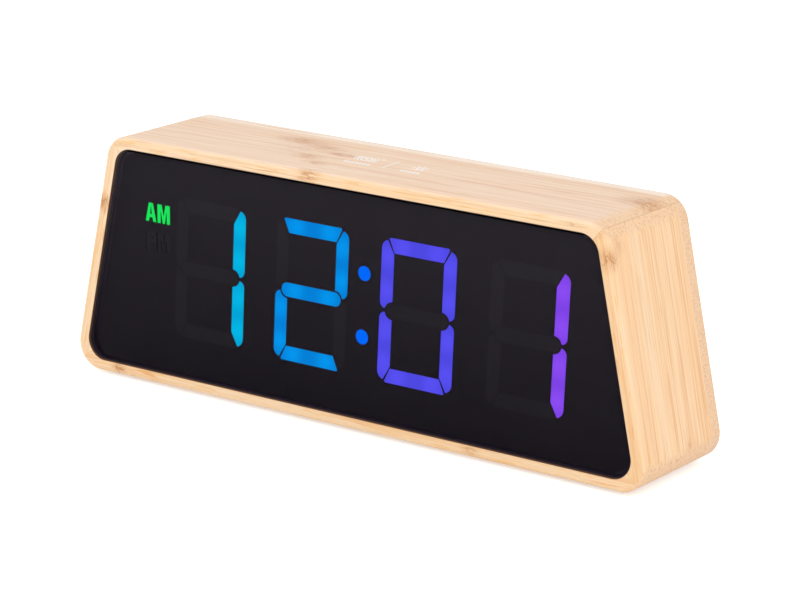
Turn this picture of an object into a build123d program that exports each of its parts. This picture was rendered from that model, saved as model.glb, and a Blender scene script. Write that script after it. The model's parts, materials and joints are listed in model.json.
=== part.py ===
from build123d import *
import os
from math import asin, atan2, cos, radians, sin, sqrt, tan

os.makedirs("parts", exist_ok=True)

# All sizes are millimetres. The clock stands on z = 0, its display faces -y, and x = 0 and y = 0
# are the middle of its width and of its depth.

# Case: a frame of four mitred boards, closed by a back board
case_width = 210.0
case_height = 75.4
case_depth = 41.6
side_lean = radians(12.0)
wall = 6.5
back_thickness = 5.0
corner_radius = 8.0
edge_radius = 1.2
cavity_radius = 3.0
side_lip = 4.0
level_lip = 3.7
opening_radius = 6.0
lip_radius = 0.3

# Feet
foot_height = 1.2
foot_radius = 4.5
foot_end_inset = 23.0
foot_side_inset = 8.5

# Front panel, the tape that holds it to its ledge, and the black film behind it
panel_recess = 0.6
panel_thickness = 1.5
panel_clearance = 0.15
tape_thickness = 0.2
film_clearance = 0.5

# Digits, seen from the front: each stroke's width, and how its ends are shaped
digit_count = 4
digit_space = 11.8
digit_level_margin = 3.55
digits_end_margin = 4.05
digit_slant = radians(2.4)
side_stroke = 4.45
level_stroke = 4.45
middle_stroke = 4.3
middle_inset = 2.3
segment_gap = 0.5
tip_gap = 1.06
bar_outer_inset = 2.4
bar_corner_radius = 0.45
mitre_step = 0.05
tip_step = 0.35
tip_drop = 0.8
shoulder_drop = 3.4
neck_gap = 0.55
elbow_rise = 2.0
dot_radius = 2.22
dot_spacing = 19.2

# The two marks left of the digits
mark_edge_gap = 2.5
mark_digit_gap = 1.65
mark_drop = 6.4
mark_pitch = 9.0
mark_height = 5.8
mark_stroke = 1.4
mark_gap = 0.3
a_width = 4.35
m_width = 5.05
p_width = 4.0
mark_margin = 0.6

# Light chambers, and what is behind them
reflector_side_clearance = 4.97
reflector_screw_gap = 0.8
reflector_depth = 9.0
reflector_radius = 2.0
diffuser_depth = 1.7
board_thickness = 1.6
display_board_margin = 2.0
display_board_clearance = 1.2
display_board_radius = 5.0
led_length = 3.5
led_width = 2.8
led_height = 1.4
led_lens_radius = 1.1
led_lens_depth = 0.2
led_share = 0.27
bar_led_share = 0.7
module_screw_share = 0.9

# Wooden blocks that the display board is screwed to
block_width = 9.0
block_height = 7.5
block_depth = 9.0
block_inset = 16.0
block_screw_rise = 3.2

# Screws: head radius and height, shank radius and length
small_head_radius = 1.9
small_head_height = 1.3
small_shank_radius = 1.0
block_screw_length = 7.0
module_screw_length = 5.0
plate_screw_length = 3.0
boss_screw_length = 6.0
screw_clearance = 0.2
slot_width = 0.5
slot_depth = 0.6
slot_share = 0.7

# Touch board, in a pocket under the top board
pocket_depth = 3.5
pocket_margin = 1.0
touch_board_width = 36.0
touch_board_depth = 14.0
touch_board_thickness = 0.8
touch_board_offset = 1.0
touch_board_y = -0.8
pad_thickness = 0.2
pad_width = 12.0
pad_side_margin = 2.75
pad_end_margin = 1.5
touch_cable_x = 1.0
touch_cable_y = 2.0

# Rear plate, in a pocket of the back board
plate_width = 124.0
plate_height = 42.0
plate_radius = 4.0
plate_recess = 0.8
plate_thickness = 1.8
plate_clearance = 0.2
plate_edge_radius = 0.3
window_inset = 3.5
window_radius = 6.0
plate_screw_inset = 4.0
counterbore_depth = 1.0

# Main board, on bosses behind the rear plate
main_board_side_inset = 6.0
main_board_level_inset = 5.0
main_board_well_gap = 8.2
boss_length = 8.0
boss_radius = 2.4
boss_inset = 3.0

# Push buttons
button_count = 5
button_end_inset = 10.0
button_rise_share = 0.2
button_radius = 3.0
button_clearance = 0.1
button_proud = 0.7
button_dome = 0.5
button_travel = 0.5
flange_lip = 1.2
flange_thickness = 0.9
flange_gap = 0.3
stem_radius = 1.5
switch_side = 6.0
switch_height = 3.5
plunger_radius = 1.7
plunger_clearance = 0.05
plunger_proud = 1.5
plunger_depth = 1.2

# Slide switch
slide_end_inset = 10.0
slide_rise_share = -0.28
slide_length = 8.6
slide_width = 4.4
slide_height = 4.0
slide_floor = 1.2
knob_travel = 2.0
knob_length = 3.2
knob_width = 2.6
knob_stem = 1.8
knob_gap = 0.3
bottom_gap = 0.2

# Power socket
socket_place_share = 0.66
socket_rise_share = -0.28
socket_length = 9.0
socket_width = 3.3
socket_wall = 0.3
socket_setback = 0.8
socket_floor = 1.5
socket_clearance = 0.5
tongue_length = 6.4
tongue_width = 0.7
tongue_setback = 0.8

# Buzzer, with sound holes in the rear plate
buzzer_place_share = 0.38
buzzer_rise_share = -0.25
buzzer_radius = 6.0
buzzer_height = 6.5
buzzer_hole_radius = 1.0
buzzer_hole_depth = 1.0
sound_hole_radius = 0.6
sound_ring_radius = 2.6
sound_hole_count = 6

# Parts on the boards
clock_chip_side = 7.0
clock_chip_height = 1.4
clock_chip_inset = 14.0
clock_chip_rise_share = 0.15
driver_length = 10.3
driver_width = 7.5
driver_height = 1.8
driver_place_share = 0.5
pin_pitch = 1.27
pin_width = 0.4
pin_reach = 1.0
pin_thickness = 0.25
crystal_length = 7.0
crystal_radius = 1.5
crystal_place_share = 0.34
crystal_rise_share = 0.38
capacitor_radius = 2.5
capacitor_height = 6.5
capacitor_pitch = 8.0
capacitor_place_share = 0.58
capacitor_rise_share = 0.28
capacitor_rim = 0.3
resistor_length = 2.0
resistor_width = 1.25
resistor_height = 0.5
resistor_pitch = 3.5
resistor_count = 8
resistor_inset = 8.5
resistor_rise_share = -0.42

# Headers and flat cables
header_length = 14.0
header_width = 4.6
header_depth = 3.4
header_wall = 0.6
header_floor = 1.2
small_header_length = 7.0
cable_width = 11.0
small_cable_width = 4.0
cable_thickness = 0.9
cable_bend = 1.6
display_header_inset = 10.0
main_header_rise_share = -0.28
touch_header_rise_share = 0.28

# Backup cell, its well in the rear plate, its contacts and its door
cell_radius = 10.0
cell_height = 3.2
cell_rim = 0.4
cell_clearance = 2.0
well_wall = 1.8
well_inset = 6.2
well_floor = 1.2
contact_thickness = 0.4
contact_bend = 0.6
contact_width = 3.0
contact_clearance = 0.3
minus_contact_rise = 5.0
contact_reach = 6.0
plus_contact_drop = 2.2
plus_contact_tip = 0.4
contact_standoff = 1.0
contact_landing = 5.0
door_ledge = 1.0
door_thickness = 1.2
door_setback = 0.3
door_gap = 0.3
door_seat_gap = 0.1
hinge_pin_radius = 0.45
hinge_pin_clearance = 0.05
hinge_pin_length = 1.2
latch_width = 6.0
latch_depth = 1.6
latch_thickness = 1.0
notch_radius = 3.0
notch_depth = 0.5

# Every cut runs this far past what it cuts
overrun = 1.0

# Sizes and places worked out from the sizes above
front_y = -case_depth / 2
back_y = case_depth / 2
frame_back_y = back_y - back_thickness
centre_z = foot_height + case_height / 2
floor_z = foot_height + wall
ceiling_z = foot_height + case_height - wall
panel_front_y = front_y + panel_recess
panel_back_y = panel_front_y + panel_thickness
film_back_y = panel_back_y + tape_thickness
reflector_back_y = film_back_y + reflector_depth
display_back_y = reflector_back_y + board_thickness
plate_back_y = back_y - plate_recess
plate_front_y = plate_back_y - plate_thickness
main_back_y = plate_front_y - boss_length
main_front_y = main_back_y - board_thickness
door_back_y = plate_back_y - door_setback
door_front_y = door_back_y - door_thickness
cell_back_y = door_front_y - door_gap
well_floor_y = cell_back_y - cell_height - contact_thickness

reflector_level_gap = block_screw_rise + small_head_radius + reflector_screw_gap
reflector_height = ceiling_z - floor_z - 2 * reflector_level_gap
reflector_top = case_height - wall - reflector_level_gap
cavity_half_width = case_width / 2 - reflector_top * tan(side_lean) - wall / cos(side_lean)
reflector_width = 2 * (cavity_half_width - reflector_side_clearance)
display_board_width = reflector_width + 2 * display_board_margin
display_board_height = ceiling_z - floor_z - 2 * display_board_clearance
block_offset = display_board_width / 2 - block_inset

mark_width = max(a_width, p_width) + mark_gap + m_width + 2 * mark_margin
mark_offset = -reflector_width / 2 + mark_edge_gap + mark_width / 2
mark_column = mark_edge_gap + mark_width + mark_digit_gap
digits_field = reflector_width - mark_column - digits_end_margin
digits_offset = reflector_width / 2 - digits_end_margin - digits_field / 2
digit_pitch = (digits_field + digit_space) / digit_count
digit_width = digit_pitch - digit_space
digit_height = reflector_height - 2 * digit_level_margin
mark_rise = digit_height / 2 - mark_drop
bar_inner_inset = side_stroke + mitre_step
tip_inset = bar_outer_inset - tip_step
neck_drop = level_stroke + neck_gap

well_inner = 2 * (cell_radius + cell_clearance)
well_outer = well_inner + 2 * well_wall
door_side = well_inner + 2 * door_ledge
cell_offset = plate_width / 2 - well_inset - well_outer / 2
main_board_left = -plate_width / 2 + main_board_side_inset
main_board_right = cell_offset - well_outer / 2 - main_board_well_gap
main_board_width = main_board_right - main_board_left
main_board_height = plate_height - 2 * main_board_level_inset
main_board_offset = (main_board_left + main_board_right) / 2
button_pitch = (main_board_width - 2 * button_end_inset) / (button_count - 1)
flange_radius = button_radius + flange_lip
slide_offset = main_board_left + slide_end_inset
pad_spacing = touch_board_width - pad_width - 2 * pad_side_margin
pad_depth = touch_board_depth - 2 * pad_end_margin
cable_x = digits_offset - digit_pitch / 2


def board_x(share):
    """A place along the main board, from its left end."""
    return main_board_left + share * main_board_width


def board_z(share):
    """A height on the main board, from its middle."""
    return centre_z + share * main_board_height


def save(name, *pieces):
    """Write one node, which holds one solid or several alike."""
    solids = [solid for piece in pieces for solid in piece.solids()]
    export_step(Compound(children=solids), f"parts/{name}.step")


def slab(face, near_y, far_y):
    """Stretch an outline drawn in x and z from one depth to another."""
    return extrude(Plane.XZ.offset(-far_y) * face, far_y - near_y)


def block(x, z, width, height, near_y, far_y):
    """A box centred on x and z, between two depths."""
    return slab(Pos(x, z) * Rectangle(width, height), near_y, far_y)


def rod(x, z, radius, near_y, far_y):
    """A round rod along y."""
    return slab(Pos(x, z) * Circle(radius), near_y, far_y)


def corners(side_inset, level_inset):
    """The four sharp corners of the case outline, moved in by two wall widths."""
    low = level_inset
    high = case_height - level_inset

    def half_width(height):
        return case_width / 2 - height * tan(side_lean) - side_inset / cos(side_lean)

    return [
        (-half_width(low), foot_height + low),
        (half_width(low), foot_height + low),
        (half_width(high), foot_height + high),
        (-half_width(high), foot_height + high),
    ]


def outline(side_inset, level_inset, radius):
    """The case outline, moved in and with rounded corners."""
    face = make_face(Polyline(*corners(side_inset, level_inset), close=True))
    return fillet(face.vertices(), radius)


def edges_at(solid, y):
    """The edges of a solid that lie in the plane at one depth."""
    return solid.edges().filter_by_position(Axis.Y, y, y)


def cross_recess(x, z, near_y, far_y):
    """The cross recess of a screw head."""
    reach = 2 * small_head_radius * slot_share
    return block(x, z, reach, slot_width, near_y, far_y) + block(x, z, slot_width, reach, near_y, far_y)


def screw(x, z, seat_y, length, towards):
    """A pan head screw along y. Its head sits on seat_y and its shank points towards +y or -y."""
    head_y = seat_y - towards * small_head_height
    tip_y = seat_y + towards * length
    recess_y = head_y + towards * slot_depth
    body = rod(x, z, small_head_radius, min(seat_y, head_y), max(seat_y, head_y))
    body += rod(x, z, small_shank_radius, min(seat_y, tip_y), max(seat_y, tip_y))
    outside_y = head_y - towards * overrun
    return body - cross_recess(x, z, min(recess_y, outside_y), max(recess_y, outside_y))


def chip(x, z, size, near_y, towards):
    """A chip with a row of pins along its upper and its lower side, lying on a board at near_y."""
    length, width, height = size
    pins = int(length / pin_pitch)
    far_y = near_y + towards * height
    pin_y = near_y + towards * pin_thickness
    body = block(x, z, length, width, min(pin_y, far_y), max(pin_y, far_y))
    for number in range(pins):
        pin_x = x + (number - (pins - 1) / 2) * pin_pitch
        reach = width + 2 * pin_reach
        body += block(pin_x, z, pin_width, reach, min(near_y, pin_y), max(near_y, pin_y))
    return body


def header(x, z, length, board_y, towards):
    """An open connector shell on a board."""
    mouth_y = board_y + towards * header_depth
    floor_y = board_y + towards * header_floor
    past_y = mouth_y + towards * overrun
    shell = block(x, z, length, header_width, min(board_y, mouth_y), max(board_y, mouth_y))
    inner_length = length - 2 * header_wall
    inner_width = header_width - 2 * header_wall
    return shell - block(x, z, inner_length, inner_width, min(floor_y, past_y), max(floor_y, past_y))


def flat_cable(x, width, points, bend):
    """A flat cable or strip, drawn as a path in y and z, with rounded turns."""
    path = FilletPolyline(*points, radius=bend)
    return extrude(Plane.YZ.offset(x - width / 2) * trace(path, cable_thickness), width)


def bent_strip(z, width, thickness, points, bend):
    """A metal strip on edge, drawn as a path in x and y, with rounded turns."""
    path = FilletPolyline(*points, radius=bend)
    return extrude(Plane.XY.offset(z - width / 2) * trace(path, thickness), width)


def touch_places():
    """The centres of the two touch pads."""
    return [(touch_board_offset + side * pad_spacing / 2, touch_board_y) for side in (-1, 1)]


# Digit outlines


def leaned(x, z):
    """Slant a point, given from the middle of the display, as the digits slant."""
    return (x + z * tan(digit_slant), z)


def swing(at, outer_height, end_inset, tip_height):
    """A rounded shoulder: an arc that leaves the outer edge along it and ends at the tip."""
    rise = abs(tip_height - outer_height)
    radius = (end_inset**2 + rise**2) / (2 * end_inset)
    half_turn = atan2(rise, radius - end_inset) / 2
    direction = 1 if tip_height > outer_height else -1
    middle = at(radius - radius * cos(half_turn), outer_height + direction * radius * sin(half_turn))
    return ThreePointArc(at(0, outer_height), middle, at(end_inset, tip_height))


def side_segment(centre, side, level):
    """An upright segment: rounded shoulder, mitred end, and a hollow end round the middle bar."""
    top = digit_height / 2

    def at(inset, height):
        return leaned(centre + side * (digit_width / 2 - inset), level * height)

    hollow_radius = middle_stroke / 2 + segment_gap
    hollow_inset = middle_inset + middle_stroke / 2
    tip_height = tip_gap / 2
    tip_angle = asin(tip_height / hollow_radius)
    tip_at = hollow_inset - hollow_radius * cos(tip_angle)
    neck_height = sqrt(hollow_radius**2 - (side_stroke - hollow_inset) ** 2)
    neck_angle = atan2(neck_height, hollow_inset - side_stroke)
    middle_angle = (tip_angle + neck_angle) / 2
    hollow_middle = at(
        hollow_inset - hollow_radius * cos(middle_angle), hollow_radius * sin(middle_angle)
    )
    elbow_height = tip_height + elbow_rise
    return make_face(
        Curve()
        + swing(at, top - shoulder_drop, tip_inset, top - tip_drop)
        + Line(at(tip_inset, top - tip_drop), at(side_stroke, top - neck_drop))
        + Line(at(side_stroke, top - neck_drop), at(side_stroke, neck_height))
        + ThreePointArc(at(side_stroke, neck_height), hollow_middle, at(tip_at, tip_height))
        + swing(at, elbow_height, tip_at, tip_height)
        + Line(at(0, elbow_height), at(0, top - shoulder_drop))
    )


def level_segment(centre, level):
    """The top or the bottom segment, with mitred ends."""
    outer = digit_width / 2 - bar_outer_inset
    inner = digit_width / 2 - bar_inner_inset
    top = digit_height / 2

    def at(x, height):
        return leaned(centre + x, level * height)

    face = make_face(
        Polyline(
            at(-outer, top),
            at(outer, top),
            at(inner, top - level_stroke),
            at(-inner, top - level_stroke),
            close=True,
        )
    )
    outer_corners = face.vertices().group_by(Axis.Y)[-1 if level > 0 else 0]
    return fillet(outer_corners, bar_corner_radius)


def middle_segment(centre):
    """The middle bar, with round ends."""
    reach = digit_width / 2 - middle_inset
    radius = middle_stroke / 2
    flat = reach - radius

    def at(x, z):
        return leaned(centre + x, z)

    return make_face(
        Curve()
        + Line(at(-flat, radius), at(flat, radius))
        + ThreePointArc(at(flat, radius), at(reach, 0), at(flat, -radius))
        + Line(at(flat, -radius), at(-flat, -radius))
        + ThreePointArc(at(-flat, -radius), at(-reach, 0), at(-flat, radius))
    )


def digit_segments(centre):
    """The seven segments of one digit, as flat outlines."""
    outlines = [side_segment(centre, side, level) for side in (-1, 1) for level in (-1, 1)]
    outlines += [level_segment(centre, level) for level in (-1, 1)]
    outlines.append(middle_segment(centre))
    return [Pos(0, centre_z) * face for face in outlines]


def digit_centres():
    """Where each digit stands along x."""
    first = digits_offset - (digit_count - 1) / 2 * digit_pitch
    return [first + number * digit_pitch for number in range(digit_count)]


def dot_outlines():
    """The two dots between hours and minutes."""
    places = [leaned(digits_offset, level * dot_spacing / 2) for level in (-1, 1)]
    return [Pos(x, centre_z + z) * Circle(dot_radius) for x, z in places]


def letter_p():
    """A narrow capital P, from its lower left corner."""
    stem_share = 0.42
    body = Rectangle(p_width, mark_height, align=(Align.MIN, Align.MIN))
    below = Rectangle(p_width - mark_stroke, mark_height * stem_share, align=(Align.MIN, Align.MIN))
    hole_width = p_width - 2 * mark_stroke
    hole_height = mark_height * (1 - stem_share) - 2 * mark_stroke
    hole = Rectangle(hole_width, hole_height, align=(Align.MIN, Align.MIN))
    body -= Pos(mark_stroke, 0) * below
    return body - Pos(mark_stroke, mark_height * stem_share + mark_stroke) * hole


def letter_a():
    """A narrow capital A, from its lower left corner."""
    top_share = 0.3
    bar_low_share = 0.22
    bar_high_share = 0.4
    peak_share = 0.8

    def side_x(height_share):
        return a_width * top_share * height_share

    def inner(height_share):
        left = side_x(height_share) + mark_stroke
        return left, mark_height * height_share

    body = make_face(
        Polyline(
            (0, 0),
            (side_x(1), mark_height),
            (a_width - side_x(1), mark_height),
            (a_width, 0),
            close=True,
        )
    )
    low_x, low_z = inner(bar_low_share)
    high_x, high_z = inner(bar_high_share)
    leg_gap = Polyline(
        (mark_stroke, 0), (a_width - mark_stroke, 0), (a_width - low_x, low_z), (low_x, low_z), close=True
    )
    eye = Polyline(
        (high_x, high_z), (a_width - high_x, high_z), (a_width / 2, mark_height * peak_share), close=True
    )
    return body - make_face(leg_gap) - make_face(eye)


def letter_m():
    """A narrow capital M, from its lower left corner."""
    valley_share = 0.44
    shoulder_share = 0.37
    slot_top_share = 0.6
    slot_foot_share = 0.4
    body = Rectangle(m_width, mark_height, align=(Align.MIN, Align.MIN))
    valley = Polyline(
        (m_width * shoulder_share, mark_height),
        (m_width / 2, mark_height * valley_share),
        (m_width * (1 - shoulder_share), mark_height),
        close=True,
    )
    body -= make_face(valley)
    slot = Polyline(
        (mark_stroke, 0),
        (mark_stroke, mark_height * slot_top_share),
        (m_width * slot_foot_share, 0),
        close=True,
    )
    body -= make_face(slot)
    other = Polyline(
        (m_width - mark_stroke, 0),
        (m_width - mark_stroke, mark_height * slot_top_share),
        (m_width * (1 - slot_foot_share), 0),
        close=True,
    )
    return body - make_face(other)


def mark_levels():
    """The heights of the upper and the lower mark."""
    return [centre_z + mark_rise, centre_z + mark_rise - mark_pitch]


def mark_outlines(first, first_width, level):
    """Two letters side by side, centred on the mark's place."""
    whole = first_width + mark_gap + m_width
    left = mark_offset - whole / 2
    low = level - mark_height / 2
    return [Pos(left, low) * first, Pos(left + first_width + mark_gap, low) * letter_m()]


def mark_frame(level):
    """The outline of a mark's diffuser and of its light chamber."""
    return Pos(mark_offset, level) * Rectangle(mark_width, mark_height + 2 * mark_margin)


# Case


def make_case():
    """The four mitred boards and the back board."""
    ring = slab(outline(0, 0, corner_radius), front_y, frame_back_y)
    ring = fillet(edges_at(ring, front_y), edge_radius)
    ring -= slab(outline(wall, wall, cavity_radius), front_y - overrun, frame_back_y + overrun)
    rebate = outline(side_lip, level_lip, opening_radius)
    ring -= slab(rebate, front_y - overrun, film_back_y)
    rim = ring.faces().sort_by(Axis.Y)[0].inner_wires()[0].edges()
    ring = ring.fillet(lip_radius, rim)
    outside = corners(-overrun, -overrun)
    inside = corners(wall + overrun, wall + overrun)
    boards = {}
    for number, name in enumerate(("bottom_board", "right_board", "top_board", "left_board")):
        after = (number + 1) % len(outside)
        region = Polyline(outside[number], outside[after], inside[after], inside[number], close=True)
        boards[name] = ring & slab(make_face(region), front_y - overrun, frame_back_y + overrun)
    boards["top_board"] -= touch_pocket()
    for name, board in boards.items():
        save(name, board)

    back = slab(outline(0, 0, corner_radius), frame_back_y, back_y)
    back = fillet(edges_at(back, back_y), edge_radius)
    pocket = RectangleRounded(
        plate_width + 2 * plate_clearance, plate_height + 2 * plate_clearance, plate_radius + plate_clearance
    )
    back -= slab(Pos(0, centre_z) * pocket, plate_front_y, back_y + overrun)
    window = RectangleRounded(
        plate_width - 2 * window_inset, plate_height - 2 * window_inset, window_radius
    )
    back -= slab(Pos(0, centre_z) * window, frame_back_y - overrun, plate_front_y + overrun)
    for x, z in plate_screw_places():
        back -= rod(x, z, small_shank_radius, frame_back_y - overrun, plate_front_y + overrun)
    save("back_board", back)


def touch_pocket():
    """The hollow under the top board that holds the touch board."""
    width = touch_board_width + 2 * pocket_margin
    depth = touch_board_depth + 2 * pocket_margin
    hollow = Box(width, depth, pocket_depth + overrun, align=(Align.CENTER, Align.CENTER, Align.MIN))
    return Pos(touch_board_offset, touch_board_y, ceiling_z - overrun) * hollow


def make_feet():
    """Four rubber discs, flat on the case's underside."""
    foot = Cylinder(foot_radius, foot_height, align=(Align.CENTER, Align.CENTER, Align.MIN))
    along = case_width / 2 - foot_end_inset
    across = case_depth / 2 - foot_side_inset
    save("feet", *[Pos(side * along, end * across) * foot for side in (-1, 1) for end in (-1, 1)])


# Front


def make_front():
    """The smoked panel, the tape round its edge and the black film with the windows."""
    edge = outline(side_lip + panel_clearance, level_lip + panel_clearance, opening_radius - panel_clearance)
    save("front_panel", slab(edge, panel_front_y, panel_back_y))
    save("panel_tape", slab(edge - outline(wall, wall, cavity_radius), panel_back_y, film_back_y))
    film = outline(wall + film_clearance, wall + film_clearance, cavity_radius)
    for centre in digit_centres():
        for face in digit_segments(centre):
            film -= face
    for face in dot_outlines():
        film -= face
    for level, first, width in zip(mark_levels(), (letter_a(), letter_p()), (a_width, p_width)):
        for face in mark_outlines(first, width, level):
            film -= face
    save("window_film", slab(film, panel_back_y, film_back_y))


def make_diffusers():
    """One translucent piece behind each window."""
    for number, centre in enumerate(digit_centres(), start=1):
        pieces = [slab(face, panel_back_y, panel_back_y + diffuser_depth) for face in digit_segments(centre)]
        save(f"digit_{number}_segments", *pieces)
    dots = [slab(face, panel_back_y, panel_back_y + diffuser_depth) for face in dot_outlines()]
    save("colon_dots", *dots)
    for name, level in zip(("am_diffuser", "pm_diffuser"), mark_levels()):
        save(name, slab(mark_frame(level), film_back_y, panel_back_y + diffuser_depth))


def module_screw_places():
    """The screws that hold the display board to the reflector, between the digits."""
    rise = digit_height / 2 * module_screw_share
    columns = (digits_offset - digit_pitch, digits_offset + digit_pitch)
    places = [leaned(column, level * rise) for column in columns for level in (-1, 1)]
    return [(x, centre_z + z) for x, z in places]


def make_reflector():
    """The white housing with one open chamber behind each window."""
    face = Pos(0, centre_z) * RectangleRounded(reflector_width, reflector_height, reflector_radius)
    for centre in digit_centres():
        for chamber in digit_segments(centre):
            face -= chamber
    for chamber in dot_outlines():
        face -= chamber
    for level in mark_levels():
        face -= mark_frame(level)
    housing = slab(face, film_back_y, reflector_back_y)
    reach = module_screw_length - board_thickness
    for x, z in module_screw_places():
        housing -= rod(x, z, small_shank_radius, reflector_back_y - reach, reflector_back_y + overrun)
    save("reflector", housing)


def led_places():
    """Each light's place, and whether it lies along x."""
    places = []
    for centre in digit_centres():
        half_height = digit_height / 2
        for side in (-1, 1):
            column = centre + side * (digit_width - side_stroke) / 2
            for height in (-1 + led_share, -led_share, led_share, 1 - led_share):
                places.append((leaned(column, height * half_height), False))
            for level in (-1, 0, 1):
                height = level * (half_height - level_stroke / 2)
                reach = (digit_width / 2 - bar_inner_inset) * bar_led_share
                places.append((leaned(centre + side * reach, height), True))
    for level in (-1, 1):
        places.append((leaned(digits_offset, level * dot_spacing / 2), False))
    for level in mark_levels():
        places.append(((mark_offset, level - centre_z), True))
    return places


def make_display_board():
    """The lights' circuit board with its lights, its driver chips and its screws."""
    face = RectangleRounded(display_board_width, display_board_height, display_board_radius)
    board = slab(Pos(0, centre_z) * face, reflector_back_y, display_back_y)
    hole_radius = small_shank_radius + screw_clearance
    for x, z in block_screw_places() + module_screw_places():
        board -= rod(x, z, hole_radius, reflector_back_y - overrun, display_back_y + overrun)
    save("display_board", board)

    front = reflector_back_y - led_height
    lens = rod(0, 0, led_lens_radius, front - overrun, front + led_lens_depth)
    flat = block(0, 0, led_length, led_width, front, reflector_back_y) - lens
    upright = block(0, 0, led_width, led_length, front, reflector_back_y) - lens
    lights = [Pos(x, 0, centre_z + z) * (flat if along else upright) for (x, z), along in led_places()]
    save("segment_leds", *lights)

    drivers = []
    size = (driver_length, driver_width, driver_height)
    for side in (-1, 1):
        x = side * driver_place_share * display_board_width / 2
        drivers.append(chip(x, centre_z, size, display_back_y, 1))
    save("display_drivers", *drivers)
    screws = [screw(x, z, display_back_y, module_screw_length, -1) for x, z in module_screw_places()]
    save("module_screws", *screws)


def block_screw_places():
    """The screws that hold the display board to the four blocks."""
    levels = (floor_z + block_screw_rise, ceiling_z - block_screw_rise)
    return [(side * block_offset, z) for side in (-1, 1) for z in levels]


def make_blocks():
    """Four blocks glued to the bottom and the top board, and their screws."""
    blocks = []
    back_end_y = display_back_y + block_depth
    for x in (-block_offset, block_offset):
        for z in (floor_z + block_height / 2, ceiling_z - block_height / 2):
            blocks.append(block(x, z, block_width, block_height, display_back_y, back_end_y))
    reach = block_screw_length - board_thickness
    for x, z in block_screw_places():
        hole = rod(x, z, small_shank_radius, display_back_y - overrun, display_back_y + reach)
        blocks = [piece - hole for piece in blocks]
    save("mounting_blocks", *blocks)
    screws = [screw(x, z, reflector_back_y, block_screw_length, 1) for x, z in block_screw_places()]
    save("display_screws", *screws)


# Touch controls


def make_touch():
    """The touch board, its two pads against the thinned top board, and its cable."""
    roof_z = ceiling_z + pocket_depth
    board_top_z = roof_z - pad_thickness
    board_low_z = board_top_z - touch_board_thickness
    upward = (Align.CENTER, Align.CENTER, Align.MIN)
    board = Box(touch_board_width, touch_board_depth, touch_board_thickness, align=upward)
    save("touch_board", Pos(touch_board_offset, touch_board_y, board_low_z) * board)
    pad = Box(pad_width, pad_depth, pad_thickness, align=upward)
    save("touch_pads", *[Pos(x, y, board_top_z) * pad for x, y in touch_places()])
    route = [
        (touch_cable_y, board_low_z),
        (touch_cable_y, board_z(touch_header_rise_share)),
        (main_front_y - header_floor, board_z(touch_header_rise_share)),
    ]
    save("touch_cable", flat_cable(touch_cable_x, small_cable_width, route, cable_bend))


# Rear


def plate_screw_places():
    """The four screws of the rear plate."""
    across = plate_width / 2 - plate_screw_inset
    upward = plate_height / 2 - plate_screw_inset
    return [(side * across, centre_z + level * upward) for side in (-1, 1) for level in (-1, 1)]


def boss_places():
    """The four bosses that carry the main board."""
    across = main_board_width / 2 - boss_inset
    upward = main_board_height / 2 - boss_inset
    columns = (main_board_offset - across, main_board_offset + across)
    return [(column, centre_z + level * upward) for column in columns for level in (-1, 1)]


def button_places():
    """Where each push button stands."""
    first = main_board_left + button_end_inset
    return [(first + number * button_pitch, board_z(button_rise_share)) for number in range(button_count)]


def sound_hole_places():
    """One hole in the middle of the ring, then the ring."""
    x = board_x(buzzer_place_share)
    z = board_z(buzzer_rise_share)
    ring = PolarLocations(sound_ring_radius, sound_hole_count)
    return [(x, z)] + [(x + spot.position.X, z + spot.position.Y) for spot in ring]


def hinge_axis():
    """Depth and height of the battery door's hinge, in the middle of its rounded top edge."""
    return door_front_y + door_thickness / 2, centre_z + door_side / 2 - door_thickness / 2


def cross_rod(x, y, z, radius, length):
    """A round rod along x, centred on x."""
    return Pos(x, y, z) * Rot(0, 90, 0) * Cylinder(radius, length)


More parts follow.
